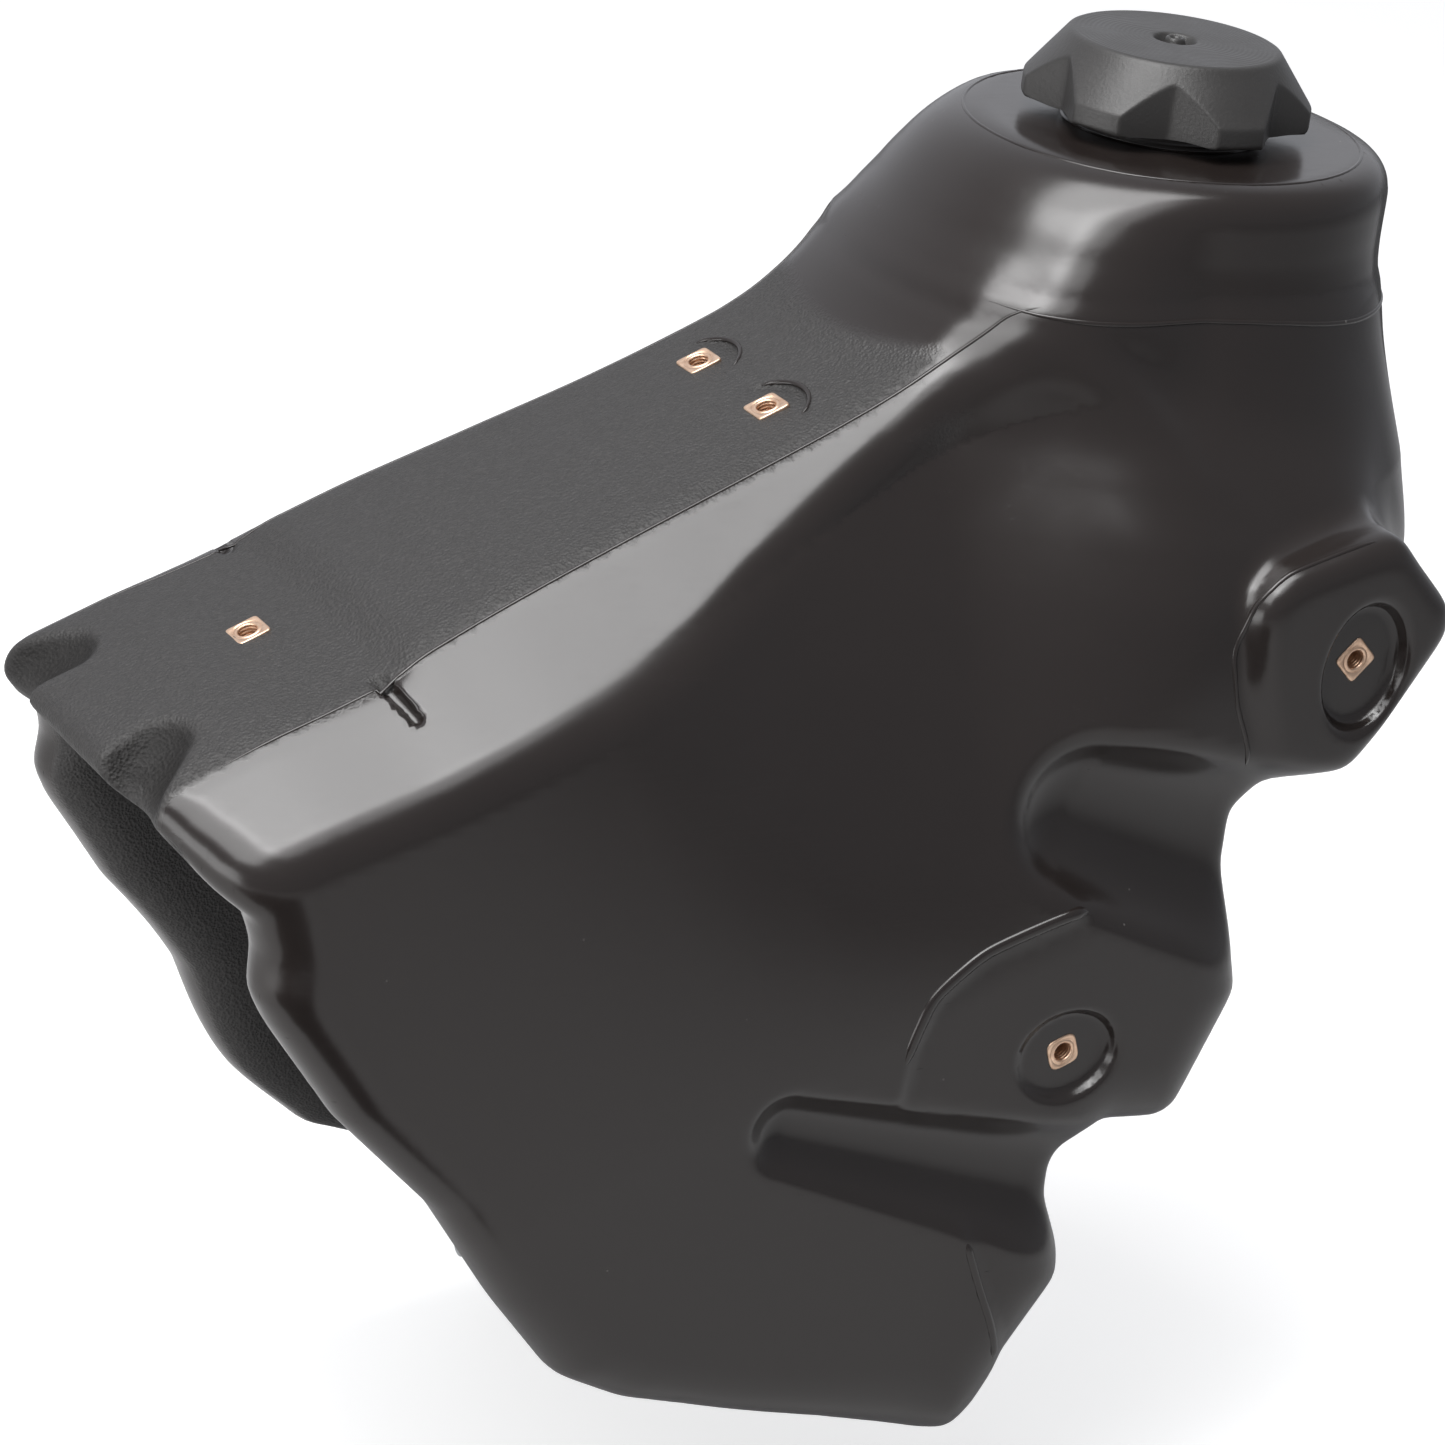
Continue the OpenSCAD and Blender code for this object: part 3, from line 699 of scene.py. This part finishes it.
def build_cap():
    """Cap shell: coned rim with thumb notches, a dished centre, and an inside thread."""
    angles = np.linspace(0, 2 * math.pi, 720, endpoint=False)
    rim = [(5.0, CAP_TOP - DISH_DEPTH), (5.5, CAP_TOP - 1.3), (5.9, CAP_TOP - 0.5), (6.3, CAP_TOP - 0.1)]
    rim += [(6.9, CAP_TOP), (8.6, CAP_TOP)]
    rim += [(r, CAP_TOP) for r in np.linspace(11, CAP_TOP_R - 1.4, 10)]
    rim += [(CAP_TOP_R - 0.6, CAP_TOP - 0.05), (CAP_TOP_R + 0.1, CAP_TOP - 0.4)]
    cone_low = 10.6
    rim += [(CAP_TOP_R + 0.5 + t * (CAP_R - 0.9 - CAP_TOP_R), CAP_TOP - 0.8 - t * (CAP_TOP - 0.8 - cone_low))
            for t in np.linspace(0, 1, 26)]
    rim += [(CAP_R - 0.08, cone_low - 0.5)]
    rim += [(CAP_R, z) for z in np.linspace(cone_low - 1.1, CAP_LOW + 0.9, 8)]
    rim += [(CAP_R - 0.15, CAP_LOW + 0.4), (CAP_R - 0.6, CAP_LOW + 0.08), (CAP_R - 1.4, CAP_LOW)]
    inside = [(CAP_BORE_R + 0.8, CAP_LOW), (CAP_BORE_R + 0.3, CAP_LOW + 0.3)]
    inside += [(-1, z) for z in np.linspace(CAP_LOW + 0.8, CAP_ROOF - 1.2, 48)]
    inside += [(CAP_BORE_R, CAP_ROOF - 0.4), (CAP_BORE_R - 0.5, CAP_ROOF), (5.2, CAP_ROOF)]
    profile = rim + inside

    def at(a, i):
        r, z = profile[i]
        if r > 35 and z < CAP_LOW + 0.2:
            z = z - 0.14 * (1 + np.sin(7 * a) + np.sin(17 * a + 1))
        if i < len(rim):
            flat = smin(np.full_like(a, r), notch_radius(a), 0.45 if r > 30 else 0.01)
            return np.minimum(flat, r), z
        if r > 0:
            return r + 0 * a, z
        phase = (z / THREAD_PITCH - a / (2 * math.pi)) % 1
        groove = step(0.12, 0.32, phase) * (1 - step(0.68, 0.88, phase))
        return CAP_BORE_R + 0.9 * groove * step(CAP_LOW + 0.8, CAP_LOW + 2.5, z), z

    return ring_mesh("cap_fine", at, angles, len(profile), flip=True)


def build_vent():
    """The vent nipple in the cap's dished centre: low dome, raised lip and a hole."""
    angles = np.linspace(0, 2 * math.pi, 96, endpoint=False)
    base = CAP_TOP - DISH_DEPTH
    profile = [(5.4, base - 0.15), (5.0, base), (3.5, base + 0.05), (3.15, base + 0.4), (2.8, base + 1.6)]
    profile += [(2.65, base + 2.2), (2.4, base + 2.5), (2.05, base + 2.55), (1.7, base + 2.45)]
    profile += [(1.4, base + 2.1), (1.15, base + 1.4), (1.1, base - 0.6), (1.1, base - 2.4)]

    def at(a, i):
        return profile[i][0] + 0 * a, profile[i][1]

    return ring_mesh("vent_nipple", at, angles, len(profile), flip=True)


# ---------------------------------------------------------------- moulded-in nuts
NUT_SIDE = 10.0
NUT_FLANGE = 2.2
NUT_BARREL_R = 4.15
NUT_BORE_R = 2.5
NUT_LEN = 12.9
NUT_DEPTH = 11.0
NUT_TILT = math.radians(23.3)
REAR_NUT_X = -265.8
# the shroud nuts: node, turn in degrees, squareness of the flange and its side
SHROUD_NUTS = (("upper_shroud_nuts", 45, 9, NUT_SIDE), ("lower_shroud_nuts", 20, 4, 9.6))


def nut_part(place, corner=9.0, side=NUT_SIDE):
    """A nut at a 4x4 place (mm): flange, knurled barrel and M6 bore. A low `corner` rounds the flange."""
    n = 96
    a = np.linspace(0, 2 * math.pi, n, endpoint=False)
    c, s = np.cos(a), np.sin(a)
    square = (np.abs(c) ** corner + np.abs(s) ** corner) ** (-1 / corner) * (side / 2 - 0.1)

    def ring(r, z):
        return np.stack([r * c, r * s, z + 0 * a], 1)

    rings = [ring(0.01, -NUT_LEN), ring(NUT_BARREL_R, -NUT_LEN)]
    knurl = NUT_BARREL_R - 0.12 * (np.arange(n) % 4 < 2)
    rings += [ring(knurl, -NUT_LEN + 0.3), ring(knurl, -NUT_FLANGE - 0.1)]
    rings += [ring(square - 0.25, -NUT_FLANGE), ring(square, -NUT_FLANGE + 0.3), ring(square, -0.35)]
    rings += [ring(square - 0.12, -0.1), ring(square - 0.42, 0.0), ring(4.05, 0.0), ring(3.95, -0.16)]
    rings += [ring(3.65, -0.16), ring(3.55, 0.0)]
    rings += [ring(NUT_BORE_R + 0.6, 0.0), ring(NUT_BORE_R + 0.4, -0.05), ring(NUT_BORE_R + 0.05, -0.45)]
    for z in np.arange(-0.75, -NUT_DEPTH + 0.6, -0.25):
        phase = (z - a / (2 * math.pi)) % 1
        rings.append(ring(NUT_BORE_R + 0.42 * np.abs(2 * phase - 1) - 0.05, z))
    rings += [ring(NUT_BORE_R - 0.3, -NUT_DEPTH + 0.3), ring(0.01, -NUT_DEPTH + 0.3)]
    points = np.concatenate(rings)
    faces = []
    for i in range(len(rings) - 1):
        for k in range(n):
            p, q = i * n + k, i * n + (k + 1) % n
            faces.append([p, q, q + n, p + n])
    m = np.array(place)
    return points @ m[:3, :3].T + m[:3, 3], faces


def place(x, y, z, tilt_y=0.0, tilt_x=0.0, spin=0.0):
    m = Matrix.Translation((x, y, z)) @ Matrix.Rotation(tilt_y, 4, "Y") @ Matrix.Rotation(tilt_x, 4, "X")
    return m @ Matrix.Rotation(spin, 4, "Z")


def centre(node):
    low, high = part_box(node)
    return [(a + b) / 2 / MM for a, b in zip(low, high)], [(b - a) / MM for a, b in zip(low, high)]


def flank_places(node, spin):
    """Places of a pair of nuts that face out of the two flanks."""
    (x, _, z), (_, wide, _) = centre(node)
    return [place(x, s * wide / 2, z, 0, -s * math.pi / 2, spin) for s in (-1, 1)]


def build_nuts():
    """One detailed piece for each CAD nut node."""
    pieces = []
    for node, spin, corner, side in SHROUD_NUTS:
        places = flank_places(node, math.radians(spin))
        pieces.append((node, [nut_part(p, corner, side) for p in places]))
    seat = []
    for back, offsets in ((PAIR_NUT[0], (-PAIR_NUT_Y, PAIR_NUT_Y)), (REAR_NUT_X, (0,))):
        z = PAIR_NUT[1] + (back - PAIR_NUT[0]) * math.tan(NUT_TILT)
        seat.append([place(back, y, z, -NUT_TILT) for y in offsets])
    pieces.append(("panel_nuts", [nut_part(p) for p in seat[0]]))
    pieces.append(("rear_nut", [nut_part(p) for p in seat[1]]))
    (x, y, _), (long, _, _) = centre("tap_nuts")
    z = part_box("tap_nuts")[0].z / MM
    half = (long - NUT_SIDE) / 2
    pieces.append(("tap_nuts", [nut_part(place(x + s * half, y, z, 0, math.pi)) for s in (-1, 1)]))
    return [(node, joined(node + "_fine", parts)) for node, parts in pieces]


# ---------------------------------------------------------------- materials
class Nodes:
    """Short calls to build a node tree."""

    def __init__(self, name):
        self.material = bpy.data.materials.new(name)
        self.material.use_nodes = True
        self.tree = self.material.node_tree
        self.tree.nodes.clear()
        self.out = self.tree.nodes.new("ShaderNodeOutputMaterial")
        self.shader = self.tree.nodes.new("ShaderNodeBsdfPrincipled")
        self.tree.links.new(self.shader.outputs[0], self.out.inputs[0])
        self.place = self.tree.nodes.new("ShaderNodeTexCoord").outputs["Object"]

    def node(self, kind, **inputs):
        n = self.tree.nodes.new("ShaderNode" + kind)
        for key, value in inputs.items():
            if hasattr(n, key):
                setattr(n, key, value)
            else:
                self.put(n.inputs[key.replace("_", " ")], value)
        return n

    def put(self, socket, value):
        if isinstance(value, bpy.types.NodeSocket):
            self.tree.links.new(value, socket)
        else:
            socket.default_value = value

    def stretched(self, x, y, z):
        n = self.node("Mapping")
        self.put(n.inputs["Vector"], self.place)
        n.inputs["Scale"].default_value = (x, y, z)
        return n.outputs[0]

    def noise(self, per_metre, detail=3.0, rough=0.55, vector=None):
        n = self.node("TexNoise", Scale=per_metre, Detail=detail, Roughness=rough)
        self.put(n.inputs["Vector"], vector or self.place)
        return n.outputs["Fac"]

    def cells(self, per_metre, feature="F1", vector=None, randomness=1.0):
        n = self.node("TexVoronoi", feature=feature, Scale=per_metre, Randomness=randomness)
        self.put(n.inputs["Vector"], vector or self.place)
        return n.outputs["Distance"]

    def ramp(self, value, low, high, a=0.0, b=1.0):
        n = self.node("MapRange", clamp=True)
        for socket, v in zip(n.inputs, (value, low, high, a, b)):
            self.put(socket, v)
        return n.outputs[0]

    def maths(self, operation, a, b=0.0):
        n = self.node("Math", operation=operation)
        self.put(n.inputs[0], a)
        self.put(n.inputs[1], b)
        return n.outputs[0]

    def blend(self, fac, a, b):
        n = self.node("Mix", data_type="RGBA")
        self.put(n.inputs["Factor"], fac)
        colours = [s for s in n.inputs if s.type == "RGBA"]
        self.put(colours[0], a)
        self.put(colours[1], b)
        return [s for s in n.outputs if s.type == "RGBA"][0]

    def bump(self, height, depth_mm, below=None, strength=1.0):
        n = self.node("Bump", Height=height, Distance=depth_mm * MM, Strength=strength)
        if below is not None:
            self.put(n.inputs["Normal"], below)
        return n.outputs[0]

    def finish(self, **inputs):
        for key, value in inputs.items():
            self.put(self.shader.inputs[key.replace("_", " ")], value)
        return self.material


def tank_plastic():
    """Black polyethylene: satin outside, pebbled and matt where `matt` is 1; where it is 2, in the tail
    scoops, painted shade: a darker colour and a weaker reflection.
    """
    n = Nodes("tank_plastic")
    surface = n.node("Attribute", attribute_name="matt").outputs["Fac"]
    matt = n.ramp(surface, 0, 1)
    # 0 to 1 as `matt` goes from 1 to 2: the mask of the painted shade in the tail scoops
    scoop_painted_shade = n.ramp(surface, 1, 2)
    cloud = n.noise(14, 4)
    fine = n.noise(240, 3)
    pebble = n.cells(1150, "F1")
    grain = n.noise(2200, 2)
    scratch = n.noise(30, 6, 0.7, n.stretched(1, 14, 22))
    speck = n.ramp(n.cells(95), 0.045, 0.02)
    gate = n.ramp(n.noise(55, 1), 0.60, 0.66)
    dust = n.maths("MULTIPLY", speck, gate)
    satin = n.blend(cloud, (0.0115, 0.0088, 0.0080, 1), (0.0155, 0.0120, 0.0108, 1))
    rough_black = n.blend(pebble, (0.010, 0.0092, 0.0088, 1), (0.026, 0.024, 0.023, 1))
    colour = n.blend(matt, satin, rough_black)
    colour = n.blend(n.maths("MULTIPLY", dust, 0.55), colour, (0.19, 0.18, 0.17, 1))
    smooth_r = n.maths("ADD", n.ramp(cloud, 0.3, 0.7, 0.19, 0.25), n.ramp(scratch, 0.55, 0.75, 0, 0.05))
    roughness = n.blend(matt, smooth_r, n.ramp(fine, 0.3, 0.7, 0.56, 0.66))
    skin_height = n.maths("ADD", n.maths("MULTIPLY", fine, 0.6), n.maths("MULTIPLY", scratch, 0.4))
    bump = n.bump(skin_height, 0.035)
    bump = n.bump(dust, 0.05, bump)
    pebbles = n.maths("ADD", pebble, n.maths("MULTIPLY", grain, 0.3))
    bump = n.bump(n.maths("MULTIPLY", pebbles, matt), 0.3, bump)
    # painted shade in the tail scoops: the colour goes near black and the reflection level drops from 0.5 to
    # 0.16
    colour = n.blend(n.maths("MULTIPLY", scoop_painted_shade, 0.6), colour, (0.004, 0.0038, 0.0036, 1))
    sheen = n.ramp(scoop_painted_shade, 0, 1, 0.5, 0.16)
    return n.finish(Base_Color=colour, Roughness=roughness, Normal=bump, Specular_IOR_Level=sheen)


def inside_plastic():
    n = Nodes("inside_plastic")
    haze = n.noise(60, 5)
    colour = n.blend(haze, (0.012, 0.011, 0.011, 1), (0.022, 0.021, 0.02, 1))
    bump = n.bump(n.noise(300, 4), 0.3)
    return n.finish(Base_Color=colour, Roughness=0.5, Normal=bump)


def cap_plastic():
    """Dark grey moulded nylon with fine turning marks round the top."""
    n = Nodes("cap_plastic")
    grain = n.noise(900, 3)
    cloud = n.noise(45, 4)
    rings = n.node("TexWave", wave_type="RINGS", rings_direction="Z", Scale=230, Distortion=0.6, Detail=1.5)
    n.put(rings.inputs["Vector"], n.place)
    facing = n.node("NewGeometry").outputs["Normal"]
    up = n.node("SeparateXYZ")
    n.put(up.inputs[0], facing)
    top = n.ramp(up.outputs[2], 0.96, 0.995)
    colour = n.blend(cloud, (0.019, 0.0178, 0.0170, 1), (0.027, 0.0255, 0.0245, 1))
    colour = n.blend(n.ramp(grain, 0.62, 0.8, 0, 0.4), colour, (0.06, 0.057, 0.054, 1))
    roughness = n.ramp(cloud, 0.3, 0.7, 0.40, 0.50)
    bump = n.bump(grain, 0.09)
    bump = n.bump(n.maths("MULTIPLY", rings.outputs["Fac"], top), 0.05, bump)
    return n.finish(Base_Color=colour, Roughness=roughness, Normal=bump)


def nut_brass():
    """Pinkish brass, brushed by machining and dulled in patches."""
    n = Nodes("nut_brass")
    stain = n.noise(420, 5, 0.65)
    lines = n.noise(160, 4, 0.7, n.stretched(1, 1, 30))
    colour = n.blend(n.ramp(stain, 0.35, 0.7), (0.83, 0.60, 0.44, 1), (0.55, 0.36, 0.25, 1))
    roughness = n.maths("ADD", n.ramp(stain, 0.3, 0.7, 0.28, 0.42), n.ramp(lines, 0.4, 0.7, 0, 0.12))
    bump = n.bump(n.maths("ADD", lines, stain), 0.03)
    return n.finish(Base_Color=colour, Roughness=roughness, Metallic=1.0, Normal=bump)


def rubber():
    n = Nodes("nitrile_rubber")
    grain = n.noise(1200, 3)
    colour = n.blend(grain, (0.012, 0.012, 0.012, 1), (0.024, 0.023, 0.022, 1))
    return n.finish(Base_Color=colour, Roughness=n.ramp(grain, 0.3, 0.7, 0.62, 0.76),
                    Normal=n.bump(grain, 0.05))


def acetal():
    n = Nodes("acetal_white")
    cloud = n.noise(120, 3)
    colour = n.blend(cloud, (0.62, 0.60, 0.54, 1), (0.74, 0.72, 0.66, 1))
    return n.finish(Base_Color=colour, Roughness=n.ramp(cloud, 0.3, 0.7, 0.34, 0.44),
                    Normal=n.bump(n.noise(700, 2), 0.03), Subsurface_Weight=0.1)


def cast_zinc():
    """Die-cast zinc with a fine blasted skin and a tone that varies in patches."""
    n = Nodes("cast_zinc")
    cast = n.noise(900, 5, 0.6)
    stain = n.noise(70, 4)
    colour = n.blend(stain, (0.42, 0.43, 0.44, 1), (0.56, 0.57, 0.58, 1))
    bump = n.bump(cast, 0.12)
    return n.finish(Base_Color=colour, Metallic=0.9, Roughness=n.ramp(cast, 0.3, 0.7, 0.38, 0.52),
                    Normal=bump)


def plated_steel():
    n = Nodes("plated_steel")
    brushed = n.noise(220, 4, 0.7, n.stretched(1, 18, 1))
    stain = n.noise(150, 4)
    colour = n.blend(stain, (0.60, 0.60, 0.59, 1), (0.72, 0.72, 0.70, 1))
    return n.finish(Base_Color=colour, Metallic=1.0, Roughness=n.ramp(brushed, 0.3, 0.7, 0.24, 0.36),
                    Normal=n.bump(brushed, 0.02))


def mesh_nylon():
    """Fine woven nylon gauze of the strainer."""
    n = Nodes("mesh_nylon")
    waves = []
    for direction in ("X", "Z"):
        w = n.node("TexWave", wave_type="BANDS", bands_direction=direction, Scale=420)
        n.put(w.inputs["Vector"], n.place)
        waves.append(w.outputs["Fac"])
    weave = n.maths("MAXIMUM", waves[0], waves[1])
    colour = n.blend(weave, (0.25, 0.24, 0.2, 1), (0.72, 0.70, 0.64, 1))
    return n.finish(Base_Color=colour, Roughness=0.6, Normal=n.bump(weave, 0.12))


def floor_paper():
    n = Nodes("floor_paper")
    tooth = n.noise(700, 3)
    colour = n.blend(n.noise(3, 3), (0.56, 0.555, 0.55, 1), (0.60, 0.595, 0.59, 1))
    seen = n.node("LightPath").outputs["Is Camera Ray"]
    return n.finish(Base_Color=colour, Roughness=0.85, Normal=n.bump(tooth, 0.02), Specular_IOR_Level=0.2,
                    Emission_Color=(1, 1, 1, 1), Emission_Strength=n.maths("MULTIPLY", seen, 0.62))


def black_card():
    n = Nodes("black_card")
    return n.finish(Base_Color=(0.01, 0.01, 0.01, 1), Roughness=n.ramp(n.noise(200), 0.3, 0.7, 0.8, 0.9))


def dress(obj, material):
    """Gives an object one material in every slot."""
    slots = obj.data.materials
    if not slots:
        slots.append(material)
    for i in range(len(slots)):
        slots[i] = material


def soften(obj, width_mm, segments=2):
    """Rounds the sharp edges of a CAD node."""
    b = obj.modifiers.new("edge", "BEVEL")
    b.width = width_mm * MM
    b.segments = segments
    b.limit_method = "ANGLE"
    b.angle_limit = math.radians(40)
    b.harden_normals = True
    obj.data.polygons.foreach_set("use_smooth", np.ones(len(obj.data.polygons), bool))


# ---------------------------------------------------------------- assembly
plastic = tank_plastic()
brass = nut_brass()
cap_grey = cap_plastic()

skin = build_skin()
inside = build_cavity()
collar = build_collar()
lines = build_mould_lines()
for piece, material in ((skin, plastic), (inside, inside_plastic()), (collar, plastic), (lines, plastic)):
    dress(piece, material)
    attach(piece, "tank")
    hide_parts("tank_shell")

for node, piece in build_nuts():
    dress(piece, brass)
    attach(piece, "tank")
    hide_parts(node)

cap = build_cap()
vent = build_vent()
for piece, node in ((cap, "cap_shell"), (vent, "vent_spigot")):
    dress(piece, cap_grey)
    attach(piece, "cap")
    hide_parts(node)

# material and edge rounding in mm of the pieces that keep their CAD shape
CAD_LOOKS = {
    "cap_gasket": (rubber, 0.3), "tap_flange_seal": (rubber, 0.2), "rotor_seal": (rubber, 0.15),
    "rotor_oring": (rubber, 0), "slip_ring": (acetal, 0.15), "vent_seat": (cap_plastic, 0.2),
    "vent_ball": (plated_steel, 0), "tap_body": (cast_zinc, 0.5), "tap_rotor": (cast_zinc, 0.4),
    "lever_plate": (plated_steel, 0.15), "tap_screws": (plated_steel, 0.25),
    "tap_washers": (plated_steel, 0.15), "plate_screws": (plated_steel, 0.15),
    "wave_washer": (plated_steel, 0), "standpipe": (nut_brass, 0.1), "strainer": (mesh_nylon, 0.1),
}
made = {}
for node, (maker, edge) in CAD_LOOKS.items():
    if maker not in made:
        made[maker] = maker()
    dress(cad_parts[node], made[maker])
    if edge:
        soften(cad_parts[node], edge)


# ---------------------------------------------------------------- studio
# softboxes: name, place, aim, width and height in metres, watts
SOFTBOXES = (
    ("overhead", (-0.45, -0.07, 1.25), (-0.2, 0, -0.2), 0.85, 0.95, 21),
    ("high_left", (-1.08, -0.36, 0.95), (-0.12, 0, -0.15), 0.9, 0.95, 14),
    ("high_right", (-0.50, -0.54, 1.02), (0, -0.05, 0), 0.55, 0.55, 3.2),
    ("low_left", (-1.30, -0.08, -0.16), (-0.28, -0.06, -0.19), 0.9, 0.42, 5),
)
FLOOR_HALF = 9.0
FLOOR_GAP = 0.0005
CARD_LIFT = 0.001
CARD_X = (-0.95, -0.24)
CARD_Y = (-0.85, -0.22)
# strength of the room's light from the right of the tank to its left
ROOM_SPAN = (0.1, 0.75)
ROOM_STRENGTH = (0.38, 0.85)


def sheet(name, span_x, span_y, z):
    """A flat rectangle of the studio, in metres."""
    (x0, x1), (y0, y1) = span_x, span_y
    mesh = bpy.data.meshes.new(name)
    mesh.from_pydata([(x0, y0, z), (x1, y0, z), (x1, y1, z), (x0, y1, z)], [], [(0, 1, 2, 3)])
    obj = bpy.data.objects.new(name, mesh)
    bpy.context.scene.collection.objects.link(obj)
    return obj


def softbox(name, place_at, aim, wide, high, watts):
    light = bpy.data.lights.new(name, "AREA")
    light.shape = "RECTANGLE"
    light.size = wide
    light.size_y = high
    light.energy = watts
    obj = bpy.data.objects.new(name, light)
    obj.location = place_at
    obj.rotation_euler = (Vector(aim) - Vector(place_at)).to_track_quat("-Z", "Y").to_euler()
    bpy.context.scene.collection.objects.link(obj)


def studio():
    """Pale floor, softboxes, and a dark card on the floor that only reflections see."""
    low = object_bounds()[0][2] - FLOOR_GAP
    floor = sheet("floor", (-FLOOR_HALF, FLOOR_HALF), (-FLOOR_HALF, FLOOR_HALF), low)
    dress(floor, floor_paper())
    floor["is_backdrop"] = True
    for box in SOFTBOXES:
        softbox(*box)
    card = sheet("flag", CARD_X, CARD_Y, low + CARD_LIFT)
    card.visible_camera = False
    card.visible_shadow = False
    card.visible_diffuse = False
    dress(card, black_card())
    card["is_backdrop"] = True
    world = bpy.data.worlds.new("studio")
    world.use_nodes = True
    tree = world.node_tree
    tree.nodes["Background"].inputs[0].default_value = (0.92, 0.94, 1.0, 1)
    place = tree.nodes.new("ShaderNodeTexCoord")
    axes = tree.nodes.new("ShaderNodeSeparateXYZ")
    glow = tree.nodes.new("ShaderNodeMapRange")
    tree.links.new(place.outputs["Generated"], axes.inputs[0])
    tree.links.new(axes.outputs[1], glow.inputs[0])
    for socket, value in zip(glow.inputs[1:5], ROOM_SPAN + ROOM_STRENGTH):
        socket.default_value = value
    tree.links.new(glow.outputs[0], tree.nodes["Background"].inputs[1])
    bpy.context.scene.world = world


CAMERA_EYE = (-0.76753, -1.01109, 0.32723)
CAMERA_BACK = (-0.5000, -0.7777, 0.3811)
CAMERA_AZIMUTH = math.radians(-32.739)
CAMERA_ROLL = math.radians(7.459)
CAMERA_LENS = 116.8
SENSOR_WIDTH = 36


def camera():
    """The camera stands 1.3 m from the tank, 22 degrees above the deck, on its right rear side."""
    eye = Vector(CAMERA_EYE)
    back = Vector(CAMERA_BACK).normalized()
    level = Vector((math.cos(CAMERA_AZIMUTH), math.sin(CAMERA_AZIMUTH), 0))
    up = back.cross(level)
    right = (level * math.cos(CAMERA_ROLL) + up * math.sin(CAMERA_ROLL)).normalized()
    up = back.cross(right)
    data = bpy.data.cameras.new("camera")
    data.sensor_width = SENSOR_WIDTH
    data.lens = CAMERA_LENS
    data.clip_start = 0.05
    obj = bpy.data.objects.new("camera", data)
    obj.matrix_world = Matrix.Translation(eye) @ Matrix((right, up, back)).transposed().to_4x4()
    bpy.context.scene.collection.objects.link(obj)
    bpy.context.scene.camera = obj


studio()
camera()
scene = bpy.context.scene
scene.view_settings.view_transform = "Standard"
scene.view_settings.exposure = 0.0
